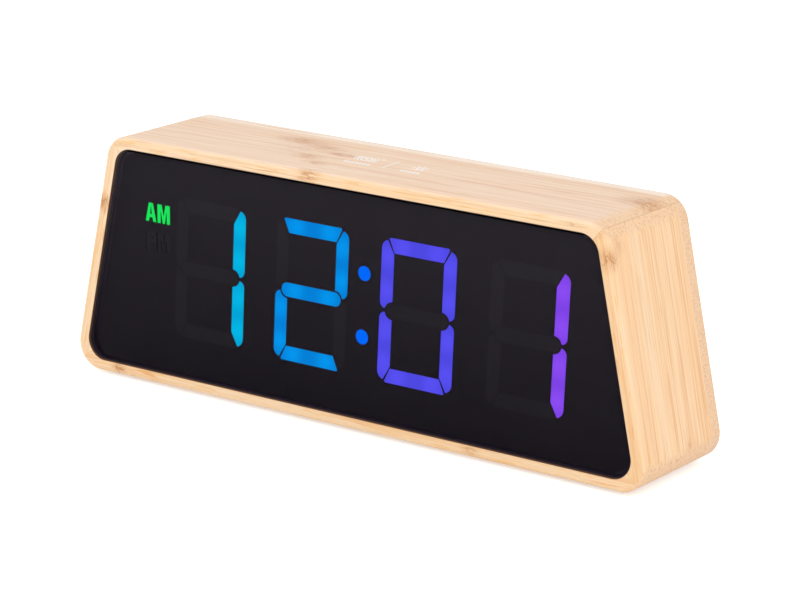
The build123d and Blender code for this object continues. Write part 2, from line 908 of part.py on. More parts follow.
def make_rear_plate():
    """The plate with its holes, its bosses and the well of the backup cell."""
    face = Pos(0, centre_z) * RectangleRounded(plate_width, plate_height, plate_radius)
    plate = slab(face, plate_front_y, plate_back_y)
    plate = fillet(edges_at(plate, plate_back_y), plate_edge_radius)
    past_y = plate_back_y + overrun
    under_y = plate_front_y - overrun
    for x, z in boss_places():
        plate += rod(x, z, boss_radius, main_back_y, plate_front_y)
    for x, z in boss_places():
        reach = main_front_y + boss_screw_length
        plate -= rod(x, z, small_shank_radius, main_back_y - overrun, reach)
    well_low_y = well_floor_y - well_floor
    plate += block(cell_offset, centre_z, well_outer, well_outer, well_low_y, plate_front_y)
    plate -= block(cell_offset, centre_z, well_inner, well_inner, well_floor_y, past_y)
    pocket_side = door_side + 2 * door_gap
    plate -= block(cell_offset, centre_z, pocket_side, pocket_side, door_front_y - door_seat_gap, past_y)
    axis_y, axis_z = hinge_axis()
    reach = door_side + 2 * (hinge_pin_length + door_gap)
    plate -= cross_rod(cell_offset, axis_y, axis_z, hinge_pin_radius + hinge_pin_clearance, reach)
    for z, y in contact_slots():
        width = contact_width + 2 * contact_clearance
        depth = contact_thickness + 2 * contact_clearance
        slot_x = cell_offset - well_inner / 2 - well_wall / 2
        plate -= block(slot_x, z, well_wall + 2 * contact_clearance, width, y, y + depth)
    for x, z in plate_screw_places():
        plate -= rod(x, z, small_shank_radius + screw_clearance, under_y, past_y)
        seat_radius = small_head_radius + screw_clearance
        plate -= rod(x, z, seat_radius, plate_back_y - counterbore_depth, past_y)
    for x, z in button_places():
        plate -= rod(x, z, button_radius + button_clearance, under_y, past_y)
    slot_length = knob_length + knob_travel + 2 * knob_gap
    slot_height = knob_width + 2 * knob_gap
    plate -= block(slide_offset, board_z(slide_rise_share), slot_length, slot_height, under_y, past_y)
    inlet = SlotOverall(socket_length + 2 * socket_clearance, socket_width + 2 * socket_clearance)
    socket_place = Pos(board_x(socket_place_share), board_z(socket_rise_share))
    plate -= slab(socket_place * inlet, under_y, past_y)
    for x, z in sound_hole_places():
        plate -= rod(x, z, sound_hole_radius, under_y, past_y)
    save("rear_plate", plate)
    seat_y = plate_back_y - counterbore_depth
    screws = [screw(x, z, seat_y, plate_screw_length, -1) for x, z in plate_screw_places()]
    save("rear_plate_screws", *screws)


def contact_slots():
    """Where the two contacts leave the well: height, and depth of the slot's near side."""
    minus = (centre_z + minus_contact_rise, well_floor_y - contact_clearance)
    plus = (centre_z, plus_contact_y() - contact_thickness / 2 - contact_clearance)
    return [minus, plus]


def plus_contact_y():
    """The depth at which the plus contact crosses the well's wall."""
    return cell_back_y - plus_contact_drop


def make_cell():
    """The backup cell, and the two strips that join it to the main board."""
    cell = rod(cell_offset, centre_z, cell_radius, cell_back_y - cell_height, cell_back_y)
    save("coin_cell", fillet(cell.edges(), cell_rim))
    half = contact_thickness / 2
    landing = (main_board_right - contact_landing, main_back_y + half)
    turn_x = cell_offset - well_inner / 2 - well_wall - contact_standoff
    minus = [
        (cell_offset + contact_reach, well_floor_y + half),
        (turn_x, well_floor_y + half),
        (turn_x, main_back_y + half),
        landing,
    ]
    z = centre_z + minus_contact_rise
    save("minus_contact", bent_strip(z, contact_width, contact_thickness, minus, contact_bend))
    rim_x = cell_offset - cell_radius - half
    plus = [
        (rim_x, cell_back_y - plus_contact_tip),
        (rim_x, plus_contact_y()),
        (turn_x, plus_contact_y()),
        (turn_x, main_back_y + half),
        landing,
    ]
    save("plus_contact", bent_strip(centre_z, contact_width, contact_thickness, plus, contact_bend))


def make_door():
    """The battery door, with a rounded hinge edge, its pins and its latch."""
    axis_y, axis_z = hinge_axis()
    low_z = centre_z - door_side / 2
    door = block(cell_offset, (low_z + axis_z) / 2, door_side, axis_z - low_z, door_front_y, door_back_y)
    door += cross_rod(cell_offset, axis_y, axis_z, door_thickness / 2, door_side)
    door += cross_rod(cell_offset, axis_y, axis_z, hinge_pin_radius, door_side + 2 * hinge_pin_length)
    latch_z = centre_z - well_inner / 2 + door_gap + latch_thickness / 2
    latch_low_y = door_front_y - latch_depth
    door += block(cell_offset, latch_z, latch_width, latch_thickness, latch_low_y, door_front_y)
    door -= rod(cell_offset, low_z, notch_radius, door_back_y - notch_depth, door_back_y + overrun)
    save("battery_door", door)


def make_buttons():
    """Five buttons, each on the plunger of its own switch."""
    plunger_top_y = main_back_y + switch_height + plunger_proud
    plunger_low_y = main_back_y + switch_height - plunger_depth
    flange_back_y = plate_front_y - flange_gap
    flange_front_y = flange_back_y - flange_thickness
    top_y = plate_back_y + button_proud
    switches = []
    for number, (x, z) in enumerate(button_places(), start=1):
        button = rod(x, z, button_radius, flange_back_y, top_y)
        button = fillet(edges_at(button, top_y), button_dome)
        button += rod(x, z, flange_radius, flange_front_y, flange_back_y)
        button += rod(x, z, stem_radius, plunger_top_y, flange_front_y)
        save(f"button_{number}", button)
        save(f"plunger_{number}", rod(x, z, plunger_radius, plunger_low_y, plunger_top_y))
        body = block(x, z, switch_side, switch_side, main_back_y, main_back_y + switch_height)
        bore_y = plunger_low_y - button_travel - bottom_gap
        bore_radius = plunger_radius + plunger_clearance
        switches.append(body - rod(x, z, bore_radius, bore_y, plunger_top_y))
    save("button_switches", *switches)


def make_slide_switch():
    """The switch body and its knob, which rests at its left end."""
    z = board_z(slide_rise_share)
    floor_y = main_back_y + slide_floor
    top_y = main_back_y + slide_height
    body = block(slide_offset, z, slide_length, slide_width, main_back_y, top_y)
    cavity_length = knob_stem + knob_travel + 2 * knob_gap
    cavity_width = knob_stem + 2 * knob_gap
    body -= block(slide_offset, z, cavity_length, cavity_width, floor_y, top_y + overrun)
    save("slide_switch", body)
    x = slide_offset - knob_travel / 2
    neck_y = plate_front_y - flange_gap
    knob = block(x, z, knob_stem, knob_stem, floor_y + bottom_gap, neck_y)
    knob += block(x, z, knob_length, knob_width, neck_y, plate_back_y + button_proud)
    save("slide_knob", knob)


def make_socket():
    """The power socket: a round-ended shell with a tongue in it."""
    mouth_y = plate_back_y - socket_setback
    floor_y = main_back_y + socket_floor
    x = board_x(socket_place_share)
    z = board_z(socket_rise_share)
    place = Pos(x, z)
    shell = slab(place * SlotOverall(socket_length, socket_width), main_back_y, mouth_y)
    hollow = SlotOverall(socket_length - 2 * socket_wall, socket_width - 2 * socket_wall)
    shell -= slab(place * hollow, floor_y, mouth_y + overrun)
    tongue_end_y = mouth_y - tongue_setback
    tongue = block(x, z, tongue_length, tongue_width, floor_y, tongue_end_y)
    save("power_socket", shell + tongue)


def make_buzzer():
    """The buzzer on the main board, behind the sound holes."""
    x = board_x(buzzer_place_share)
    z = board_z(buzzer_rise_share)
    top_y = main_back_y + buzzer_height
    can = rod(x, z, buzzer_radius, main_back_y, top_y)
    hole_low_y = top_y - buzzer_hole_depth
    save("buzzer", can - rod(x, z, buzzer_hole_radius, hole_low_y, top_y + overrun))


def make_main_board():
    """The main board, its screws, and the parts on its front side."""
    board = block(
        main_board_offset, centre_z, main_board_width, main_board_height, main_front_y, main_back_y
    )
    hole_radius = small_shank_radius + screw_clearance
    for x, z in boss_places():
        board -= rod(x, z, hole_radius, main_front_y - overrun, main_back_y + overrun)
    save("main_board", board)
    screws = [screw(x, z, main_front_y, boss_screw_length, 1) for x, z in boss_places()]
    save("main_board_screws", *screws)

    size = (clock_chip_side, clock_chip_side, clock_chip_height)
    chip_x = main_board_left + clock_chip_inset
    save("clock_chip", chip(chip_x, board_z(clock_chip_rise_share), size, main_front_y, -1))
    crystal_x = board_x(crystal_place_share)
    crystal_y = main_front_y - crystal_radius
    crystal_z = board_z(crystal_rise_share)
    save("crystal", cross_rod(crystal_x, crystal_y, crystal_z, crystal_radius, crystal_length))
    cans = []
    can_top_y = main_front_y - capacitor_height
    for side in (-1, 1):
        x = board_x(capacitor_place_share) + side * capacitor_pitch / 2
        can = rod(x, board_z(capacitor_rise_share), capacitor_radius, can_top_y, main_front_y)
        cans.append(fillet(edges_at(can, can_top_y), capacitor_rim))
    save("capacitors", *cans)
    resistors = []
    resistor_top_y = main_front_y - resistor_height
    for number in range(resistor_count):
        x = main_board_left + resistor_inset + number * resistor_pitch
        z = board_z(resistor_rise_share)
        resistors.append(block(x, z, resistor_length, resistor_width, resistor_top_y, main_front_y))
    save("chip_resistors", *resistors)


def make_headers():
    """The connector shells, and the flat cable between the two boards."""
    display_z = centre_z - display_board_height / 2 + display_header_inset
    main_z = board_z(main_header_rise_share)
    shells = [
        header(cable_x, display_z, header_length, display_back_y, 1),
        header(cable_x, main_z, header_length, main_front_y, -1),
        header(touch_cable_x, board_z(touch_header_rise_share), small_header_length, main_front_y, -1),
    ]
    save("connectors", *shells)
    middle_y = (display_back_y + main_front_y) / 2
    route = [
        (display_back_y + header_floor, display_z),
        (middle_y, display_z),
        (middle_y, main_z),
        (main_front_y - header_floor, main_z),
    ]
    save("display_cable", flat_cable(cable_x, cable_width, route, cable_bend))


make_case()
make_feet()
make_front()
make_diffusers()
make_reflector()
make_display_board()
make_blocks()
make_touch()
make_rear_plate()
make_cell()
make_door()
make_buttons()
make_slide_switch()
make_socket()
make_buzzer()
make_main_board()
make_headers()
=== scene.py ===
"""Looks of a bamboo desk clock with leaning sides, a smoked front and a glowing display.

Every piece is in metres, in the frame of the clock's own model: x along the width, y from the
display to the back, z up, with the origin on the table under the middle of the clock.
"""

from __future__ import annotations

import json
import logging
import math
from collections.abc import Callable, Iterable
from dataclasses import dataclass, field
from enum import Enum

import bpy
from mathutils import Euler, Matrix, Vector

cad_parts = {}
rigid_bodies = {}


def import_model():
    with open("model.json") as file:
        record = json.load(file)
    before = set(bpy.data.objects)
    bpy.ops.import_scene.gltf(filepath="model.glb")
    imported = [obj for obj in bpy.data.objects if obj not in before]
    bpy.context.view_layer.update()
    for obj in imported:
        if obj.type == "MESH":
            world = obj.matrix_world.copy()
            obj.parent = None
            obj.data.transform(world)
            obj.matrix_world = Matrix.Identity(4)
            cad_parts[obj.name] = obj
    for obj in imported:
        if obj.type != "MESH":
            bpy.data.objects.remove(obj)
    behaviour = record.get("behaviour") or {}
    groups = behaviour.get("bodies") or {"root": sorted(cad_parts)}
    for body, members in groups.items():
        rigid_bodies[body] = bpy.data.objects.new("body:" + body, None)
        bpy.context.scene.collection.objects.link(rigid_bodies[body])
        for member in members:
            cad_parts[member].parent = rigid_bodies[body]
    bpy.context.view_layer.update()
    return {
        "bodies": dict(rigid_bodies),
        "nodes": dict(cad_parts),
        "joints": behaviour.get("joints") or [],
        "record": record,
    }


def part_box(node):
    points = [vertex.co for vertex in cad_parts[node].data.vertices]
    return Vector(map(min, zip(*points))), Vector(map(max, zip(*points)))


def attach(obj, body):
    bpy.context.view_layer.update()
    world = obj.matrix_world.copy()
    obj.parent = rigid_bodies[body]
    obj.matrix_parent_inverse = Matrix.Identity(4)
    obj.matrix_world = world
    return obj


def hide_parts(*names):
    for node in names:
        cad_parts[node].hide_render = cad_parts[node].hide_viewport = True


LOG = logging.getLogger("desk_clock")
MM = 0.001
CASE_BODY = "case"
MERGE_REACH = 0.000002
SHARP_ANGLE = math.radians(35.0)

# A strip of print has four corners, and the shares are of a face's normal along y
STRIP_CORNERS = 4
BACK_SHARE = 0.9
FLAT_SHARE = 0.5

Colour = tuple[float, float, float]
Point = tuple[float, float, float]
FlatPoint = tuple[float, float]
Ramp = tuple[float, ...]
Socket = bpy.types.NodeSocket
Value = float | int | tuple | Vector | Socket

WHITE: Colour = (1.0, 1.0, 1.0)
UNSTRETCHED: Point = (1.0, 1.0, 1.0)


def srgb(red: int, green: int, blue: int) -> Colour:
    """Turns a colour as a screen shows it into the linear colour that a shader takes.

    Args:
        red: Red, 0 to 255.
        green: Green, 0 to 255.
        blue: Blue, 0 to 255.

    Returns:
        The linear red, green and blue.
    """

    def linear(level: float) -> float:
        """Turns one level, 0 to 255, into its linear share."""
        share = level / 255
        return share / 12.92 if share <= 0.04045 else ((share + 0.055) / 1.055) ** 2.4

    return linear(red), linear(green), linear(blue)


# Node trees


@dataclass(frozen=True)
class Layer:
    """One noise pattern: how fast it changes along x, y and z, per millimetre, and how rough it is."""

    reach: Point
    detail: float
    roughness: float = 0.5


class Sheet:
    """A node tree that is laid out one node after another."""

    # The places of a colour mix's sockets in its node
    mix_share: int = 0
    mix_first: int = 6
    mix_second: int = 7
    mix_colour: int = 2

    def __init__(self, tree: bpy.types.NodeTree) -> None:
        """Takes the tree that the nodes go into."""
        self.tree = tree

    def feed(self, socket: Socket, value: Value) -> None:
        """Links a socket, or sets its own value.

        Args:
            socket: The input to fill.
            value: Another node's output, or a number, vector or colour.
        """
        if isinstance(value, bpy.types.NodeSocket):
            self.tree.links.new(value, socket)
        elif socket.type == "RGBA" and len(value) == 3:
            socket.default_value = (*value, 1.0)
        else:
            socket.default_value = value

    def fill(self, node: bpy.types.Node, sockets: dict[str, Value]) -> bpy.types.Node:
        """Fills a node's inputs.

        Args:
            node: The node.
            sockets: What goes into the inputs, by their names, with an underscore for a space.

        Returns:
            The node.
        """
        for name, value in sockets.items():
            self.feed(node.inputs[name.replace("_", " ")], value)
        return node

    def add(self, kind: str, **sockets: Value) -> bpy.types.Node:
        """Adds a node of a kind and fills its inputs."""
        return self.fill(self.tree.nodes.new(kind), sockets)

    def _sum(self, kind: str, operation: str, values: tuple[Value, ...]) -> bpy.types.Node:
        """Adds the node of a sum.

        Args:
            kind: The node's kind.
            operation: The sum's name, such as MULTIPLY.
            values: What the sum takes, in its order.

        Returns:
            The node.
        """
        node = self.tree.nodes.new(kind)
        node.operation = operation
        for socket, value in zip(node.inputs, values):
            self.feed(socket, value)
        return node

    def math(self, operation: str, *values: Value) -> Socket:
        """Adds a sum of one to three numbers, and returns its output."""
        return self._sum("ShaderNodeMath", operation, values).outputs[0]

    def vector(self, operation: str, *values: Value) -> Socket:
        """Adds a sum of vectors, and returns the vector, or the number where it is one."""
        node = self._sum("ShaderNodeVectorMath", operation, values)
        return node.outputs["Value" if operation in ("DOT_PRODUCT", "LENGTH") else "Vector"]

    def apart(self, vector: Value) -> tuple[Socket, Socket, Socket]:
        """Splits a vector into its three parts."""
        node = self.add("ShaderNodeSeparateXYZ", Vector=vector)
        return tuple(node.outputs)

    def together(self, x: Value, y: Value, z: Value) -> Socket:
        """Makes a vector of three parts."""
        return self.add("ShaderNodeCombineXYZ", X=x, Y=y, Z=z).outputs[0]

    def ease(self, value: Value, low: Value, high: Value, start: Value = 0.0, end: Value = 1.0) -> Socket:
        """Goes smoothly from one value to another.

        Args:
            value: The value that it follows.
            low: Where the change begins.
            high: Where the change ends.
            start: What comes out below the low end.
            end: What comes out above the high end.

        Returns:
            The eased value.
        """
        node = self.tree.nodes.new("ShaderNodeMapRange")
        node.interpolation_type = "SMOOTHSTEP"
        given = {"Value": value, "From Min": low, "From Max": high, "To Min": start, "To Max": end}
        for name, part in given.items():
            self.feed(node.inputs[name], part)
        return node.outputs["Result"]

    def mix(self, share: Value, first: Value, second: Value) -> Socket:
        """Mixes two colours.

        Args:
            share: How much of the second colour there is, 0 to 1.
            first: The colour at a share of 0.
            second: The colour at a share of 1.

        Returns:
            The mixed colour.
        """
        node = self.tree.nodes.new("ShaderNodeMix")
        node.data_type = "RGBA"
        self.feed(node.inputs[self.mix_share], share)
        self.feed(node.inputs[self.mix_first], first)
        self.feed(node.inputs[self.mix_second], second)
        return node.outputs[self.mix_colour]

    def noise(self, place: Value, scale: Value = 1.0, detail: float = 2.0, roughness: float = 0.5) -> Socket:
        """Adds a noise pattern and returns its level, about 0.5 with swings to both sides."""
        node = self.add("ShaderNodeTexNoise", Vector=place, Scale=scale, Detail=detail, Roughness=roughness)
        return node.outputs[0]

    def layer(self, place: Value, layer: Layer) -> Socket:
        """Adds the noise pattern that a layer describes and returns its level."""
        stretched = self.vector("MULTIPLY", place, layer.reach)
        return self.noise(stretched, detail=layer.detail, roughness=layer.roughness)


def new_group(
    name: str, takes: dict[str, str], gives: dict[str, str]
) -> tuple[Sheet, dict[str, Socket], Callable[[str, Socket], object]]:
    """Starts a node group.

    Args:
        name: The group's name.
        takes: The inputs, each name with its kind: Float, Vector or Color.
        gives: The outputs, in the same way.

    Returns:
        The sheet to lay nodes on, the inputs by name, and a function that links an output.
    """
    tree = bpy.data.node_groups.new(name, "ShaderNodeTree")
    for way, sockets in (("INPUT", takes), ("OUTPUT", gives)):
        for label, kind in sockets.items():
            tree.interface.new_socket(label, in_out=way, socket_type=f"NodeSocket{kind}")
    sheet = Sheet(tree)
    inlet = tree.nodes.new("NodeGroupInput")
    outlet = tree.nodes.new("NodeGroupOutput")
    inputs = {label: inlet.outputs[label] for label in takes}
    return sheet, inputs, lambda label, socket: tree.links.new(socket, outlet.inputs[label])


def new_material(name: str) -> tuple[bpy.types.Material, Sheet, bpy.types.Node]:
    """Starts a material with its shader.

    Args:
        name: The material's name.

    Returns:
        The material, the sheet to lay nodes on, and the shader node.
    """
    material = bpy.data.materials.new(name)
    material.use_nodes = True
    sheet = Sheet(material.node_tree)
    shader = next(node for node in material.node_tree.nodes if node.type == "BSDF_PRINCIPLED")
    return material, sheet, shader


def grain_place(sheet: Sheet, turn: float = 0.0, tip: float = 0.0) -> Socket:
    """Gives places on the piece in millimetres, with the grain along x.

    Args:
        sheet: The sheet to lay the nodes on.
        turn: How far the places turn about y, in radians, to bring the grain onto x.
        tip: How far they turn about x before that.

    Returns:
        The place.
    """
    here = sheet.add("ShaderNodeTexCoord").outputs["Object"]
    mapping = sheet.add("ShaderNodeMapping", Vector=here, Rotation=(tip, turn, 0.0), Scale=(1 / MM,) * 3)
    return mapping.outputs[0]


class Pattern(Enum):
    """The node groups that the finishes share."""

    BAMBOO = "bamboo_fibres"
    KNUCKLE = "bamboo_knuckle"
    JOINT = "mitre_joint"
    SURFACE = "surface_variation"
    GLOW = "led_glow"


class Patterns:
    """Builds each shared node group once and places it where it is used."""

    # What varies in the bamboo, and then in its knuckles
    bends: Layer = Layer((0.012, 0.10, 0.10), 1.0)
    bands: Layer = Layer((0.005, 0.30, 0.30), 2.0, 0.6)
    ridges: Layer = Layer((0.005, 0.42, 0.42), 1.0)
    lines: Layer = Layer((0.008, 1.05, 1.05), 1.0)
    hairs: Layer = Layer((0.040, 4.4, 4.4), 2.0, 0.6)
    flecks: Layer = Layer((0.11, 1.9, 1.9), 1.0)
    fades: Layer = Layer((0.030, 0.40, 0.40), 2.0, 0.6)
    dashes: Layer = Layer((0.085, 1.5, 1.5), 2.0, 0.55)
    clouds: Layer = Layer((0.020, 0.09, 0.09), 2.0)
    bundle_reach: Point = (0.060, 1.9, 1.9)
    streaks: Layer = Layer((0.14, 1.1, 1.1), 3.0, 0.65)
    strokes: Layer = Layer((0.38, 2.4, 2.4), 1.0)
    wobbles: Layer = Layer((0.0, 0.55, 0.55), 1.0)

    # Each ramp gives where a change begins and ends and, after these, the values before and after it
    cut_ramp: Ramp = (0.06, 0.42)
    front_ramp: Ramp = (0.55, 0.90)
    bundle_ramp: Ramp = (0.12, 0.52, 1.0, 0.0)
    band_ramp: Ramp = (0.34, 0.66, 0.0, 0.42)
    cloud_ramp: Ramp = (0.32, 0.68, 0.0, 0.36)
    fade_ramp: Ramp = (0.36, 0.64, 0.20, 1.0)
    shine_ramp: Ramp = (0.34, 0.46, 0.55, 0.0)
    thread_ramp: Ramp = (0.52, 0.70, 0.0, 0.26)
    fleck_ramp: Ramp = (0.61, 0.72)
    golden_ramp: Ramp = (0.56, 0.63, 0.0, 0.62)
    glue_ramp: Ramp = (0.478, 0.5)
    ring_ramp: Ramp = (0.0, 0.10, 0.45, 0.0)
    stain_ramp: Ramp = (0.30, 0.70, 0.12, 0.50)
    stroke_ramp: Ramp = (0.53, 0.64, 0.0, 0.50)
    patch_ramp: Ramp = (0.30, 0.70)
    grain_ramp: Ramp = (0.25, 0.75)
    falling: Ramp = (0.0, 1.0, 1.0, 0.0)

    # The strips' bend and shift in millimetres, and then how wide, strong, rough or deep each pattern is
    bend_size: float = 1.1
    strip_shift: float = 180.0
    strip_tone: float = 0.22
    front_contrast: float = 0.25
    line_width: float = 0.085
    line_strength: float = 0.42
    ridge_width: float = 0.050
    ridge_strength: float = 0.62
    flecks_in_front: float = 0.75
    flecks_all_over: float = 0.25
    bundle_spread: float = 0.6
    bundle_least: float = 0.4
    dots_in_cuts: float = 0.70
    dots_all_over: float = 0.05
    end_strength: float = 0.85
    glue_strength: float = 0.26
    base_roughness: float = 0.34
    line_roughness: float = 0.16
    cut_roughness: float = 0.10
    hair_height: float = 0.5
    dot_depth: float = 0.8
    wobble_size: float = 1.5

    patch_detail: float = 3.0
    grain_roughness: float = 0.6

    def __init__(self) -> None:
        """Builds the groups."""
        self.groups = {
            Pattern.BAMBOO: self._bamboo(),
            Pattern.KNUCKLE: self._knuckle(),
            Pattern.JOINT: self._joint(),
            Pattern.SURFACE: self._surface(),
            Pattern.GLOW: self._glow(),
        }

    def place(self, sheet: Sheet, pattern: Pattern, **sockets: Value) -> bpy.types.Node:
        """Places a group on a sheet.

        Args:
            sheet: The material's sheet.
            pattern: Which group.
            sockets: Its inputs, with an underscore for a space.

        Returns:
            The group's node.
        """
        node = sheet.tree.nodes.new("ShaderNodeGroup")
        node.node_tree = self.groups[pattern]
        return sheet.fill(node, sockets)

    def _bamboo(self) -> bpy.types.NodeTree:
        """Glued strips of long fibres, whose ends show as dots where a face cuts across them.

        Returns:
            The group's tree.
        """
        takes = {
            "Place": "Vector", "Cut": "Float", "Front": "Float", "Strip Width": "Float", "Contrast": "Float",
            "Pale": "Color", "Warm": "Color", "Lip Pale": "Color", "Lip Warm": "Color", "Golden": "Color",
            "Fibre": "Color", "Dot": "Color", "End": "Color",
        }
        gives = {"Colour": "Color", "Roughness": "Float", "Height": "Float"}
        sheet, given, out = new_group(Pattern.BAMBOO.value, takes, gives)
        place, contrast, fibre = given["Place"], given["Contrast"], given["Fibre"]
        along, across, depth = sheet.apart(place)
        bend = sheet.math("SUBTRACT", sheet.layer(place, self.bends), 0.5)
        across = sheet.math("MULTIPLY_ADD", bend, self.bend_size, across)
        strip = sheet.math("DIVIDE", across, given["Strip Width"])
        white_noise = sheet.tree.nodes.new("ShaderNodeTexWhiteNoise")
        white_noise.noise_dimensions = "1D"
        sheet.feed(white_noise.inputs["W"], sheet.math("FLOOR", strip))
        chance = white_noise.outputs["Value"]
        own = sheet.together(sheet.math("MULTIPLY_ADD", chance, self.strip_shift, along), across, depth)

        def thin(level: Socket, width: float, strength: Value) -> Socket:
            """Draws thin lines where a noise level passes its middle."""
            gap = sheet.math("ABSOLUTE", sheet.math("SUBTRACT", level, 0.5))
            return sheet.math("MULTIPLY", sheet.ease(gap, 0.0, width, 1.0, 0.0), strength)

        ridges, lines, hairs = (sheet.layer(own, layer) for layer in (self.ridges, self.lines, self.hairs))
        cut = sheet.ease(given["Cut"], *self.cut_ramp)
        front = sheet.ease(given["Front"], *self.front_ramp)

        # The tone of each strip, with broad bands and clouds in it
        tone = sheet.ease(sheet.layer(own, self.bands), *self.band_ramp)
        tone = sheet.math("MULTIPLY_ADD", chance, self.strip_tone, tone)
        tone = sheet.math("ADD", tone, sheet.ease(sheet.layer(place, self.clouds), *self.cloud_ramp))
        tone = sheet.math("MULTIPLY", tone, sheet.math("MULTIPLY_ADD", front, self.front_contrast, contrast))
        tone = sheet.math("MINIMUM", tone, 1.0)
        pale = sheet.mix(front, given["Pale"], given["Lip Pale"])
        warm = sheet.mix(front, given["Warm"], given["Lip Warm"])
        colour = sheet.mix(tone, pale, warm)

        # The fibres along the grain
        fade = sheet.math("MULTIPLY", sheet.ease(sheet.layer(own, self.fades), *self.fade_ramp), contrast)
        shine = sheet.math("MULTIPLY", sheet.ease(lines, *self.shine_ramp), fade)
        colour = sheet.mix(shine, colour, pale)
        for level, width, strength in (
            (lines, self.line_width, self.line_strength), (ridges, self.ridge_width, self.ridge_strength),
        ):
            colour = sheet.mix(thin(level, width, sheet.math("MULTIPLY", fade, strength)), colour, fibre)
        thread = sheet.math("MULTIPLY", sheet.ease(hairs, *self.thread_ramp), contrast)
        colour = sheet.mix(thread, colour, fibre)
        busy = sheet.math("MULTIPLY_ADD", front, self.flecks_in_front, self.flecks_all_over)
        fleck = sheet.ease(sheet.layer(own, self.flecks), *self.fleck_ramp)
        fleck = sheet.math("MULTIPLY", fleck, sheet.math("MULTIPLY", busy, fade))
        colour = sheet.mix(fleck, colour, sheet.mix(front, given["Dot"], fibre))
        golden = sheet.math("MULTIPLY", sheet.ease(sheet.layer(own, self.dashes), *self.golden_ramp), front)
        colour = sheet.mix(golden, colour, given["Golden"])

        # The cut ends of the fibres, and the glue between the strips
        spread = sheet.vector("MULTIPLY", own, self.bundle_reach)
        cells = sheet.add("ShaderNodeTexVoronoi", Vector=spread, Scale=1.0)
        luck = sheet.apart(cells.outputs["Color"])[0]
        chosen = sheet.math("MULTIPLY_ADD", luck, self.bundle_spread, self.bundle_least)
        bundles = sheet.math("MULTIPLY", sheet.ease(cells.outputs["Distance"], *self.bundle_ramp), chosen)
        colour = sheet.mix(sheet.math("MULTIPLY", cut, self.end_strength), colour, given["End"])
        dotted = sheet.math("MULTIPLY_ADD", cut, self.dots_in_cuts, self.dots_all_over)
        shown = sheet.math("MULTIPLY", bundles, dotted)
        colour = sheet.mix(shown, colour, given["Dot"])
        near = sheet.math("ABSOLUTE", sheet.math("SUBTRACT", sheet.math("FRACT", strip), 0.5))
        glue = sheet.math("MULTIPLY", sheet.ease(near, *self.glue_ramp), self.glue_strength)
        colour = sheet.mix(glue, colour, fibre)
        out("Colour", colour)
        rough = sheet.math("MULTIPLY_ADD", cut, self.cut_roughness, self.base_roughness)
        out("Roughness", sheet.math("MULTIPLY_ADD", lines, self.line_roughness, rough))
        rise = sheet.math("MULTIPLY", hairs, self.hair_height)
        out("Height", sheet.math("SUBTRACT", rise, sheet.math("MULTIPLY", shown, self.dot_depth)))
        return sheet.tree

    def _knuckle(self) -> bpy.types.NodeTree:
        """The brownish mark where a stalk had a joint: a soft stain, short dashes and a crooked ring.

        Returns:
            The group's tree.
        """
        takes = {"Place": "Vector", "Middle": "Vector", "Reach": "Vector", "Strength": "Float"}
        sheet, given, out = new_group(Pattern.KNUCKLE.value, takes, {"Mask": "Float"})
        place = given["Place"]
        away = sheet.vector("DIVIDE", sheet.vector("SUBTRACT", place, given["Middle"]), given["Reach"])
        near = sheet.ease(sheet.vector("LENGTH", away), *self.falling)
        wobble = sheet.math("SUBTRACT", sheet.layer(place, self.wobbles), 0.5)
        offset = sheet.math("MULTIPLY_ADD", wobble, self.wobble_size, sheet.apart(away)[0])
        ring = sheet.ease(sheet.math("ABSOLUTE", offset), *self.ring_ramp)
        stain = sheet.ease(sheet.layer(place, self.streaks), *self.stain_ramp)
        strokes = sheet.ease(sheet.layer(place, self.strokes), *self.stroke_ramp)
        body = sheet.math("ADD", stain, sheet.math("MAXIMUM", ring, strokes))
        mark = sheet.math("MULTIPLY", sheet.math("MULTIPLY", near, body), given["Strength"])
        out("Mask", sheet.math("MINIMUM", mark, 1.0))
        return sheet.tree

    def _joint(self) -> bpy.types.NodeTree:
        """The hairline of glue in the mitres at the four corners.

        Returns:
            The group's tree.
        """
        takes = {
            "Place": "Vector", "Upper Corner": "Vector", "Upper Normal": "Vector", "Lower Corner": "Vector",
            "Lower Normal": "Vector", "Width": "Float", "Board": "Float", "Upper Strength": "Float",
            "Lower Strength": "Float",
        }
        sheet, given, out = new_group(Pattern.JOINT.value, takes, {"Mask": "Float"})
        x, y, z = sheet.apart(given["Place"])
        folded = sheet.together(sheet.math("ABSOLUTE", x), y, z)
        lines = []
        for level in ("Upper", "Lower"):
            away = sheet.vector("SUBTRACT", folded, given[f"{level} Corner"])
            gap = sheet.math("ABSOLUTE", sheet.vector("DOT_PRODUCT", away, given[f"{level} Normal"]))
            line = sheet.ease(gap, 0.0, given["Width"], 1.0, 0.0)
            here = sheet.math("LESS_THAN", sheet.math("ABSOLUTE", sheet.apart(away)[2]), given["Board"])
            line = sheet.math("MULTIPLY", line, given[f"{level} Strength"])
            lines.append(sheet.math("MULTIPLY", line, here))
        out("Mask", sheet.math("MAXIMUM", *lines))
        return sheet.tree

    def _surface(self) -> bpy.types.NodeTree:
        """Soft patches and a fine grain, for moulded, sawn, printed and plated surfaces.

        Returns:
            The group's tree.
        """
        takes = {"Place": "Vector", "Stretch": "Vector", "Patch Size": "Float", "Grain Size": "Float"}
        gives = {"Patches": "Float", "Grain": "Float"}
        sheet, given, out = new_group(Pattern.SURFACE.value, takes, gives)
        drawn = sheet.vector("DIVIDE", given["Place"], given["Stretch"])
        broad, fine = (sheet.math("DIVIDE", 1.0, given[f"{kind} Size"]) for kind in ("Patch", "Grain"))
        patches = sheet.noise(drawn, broad, detail=self.patch_detail)
        grain = sheet.noise(drawn, fine, roughness=self.grain_roughness)
        out("Patches", sheet.ease(patches, *self.patch_ramp))
        out("Grain", sheet.ease(grain, *self.grain_ramp))
        return sheet.tree

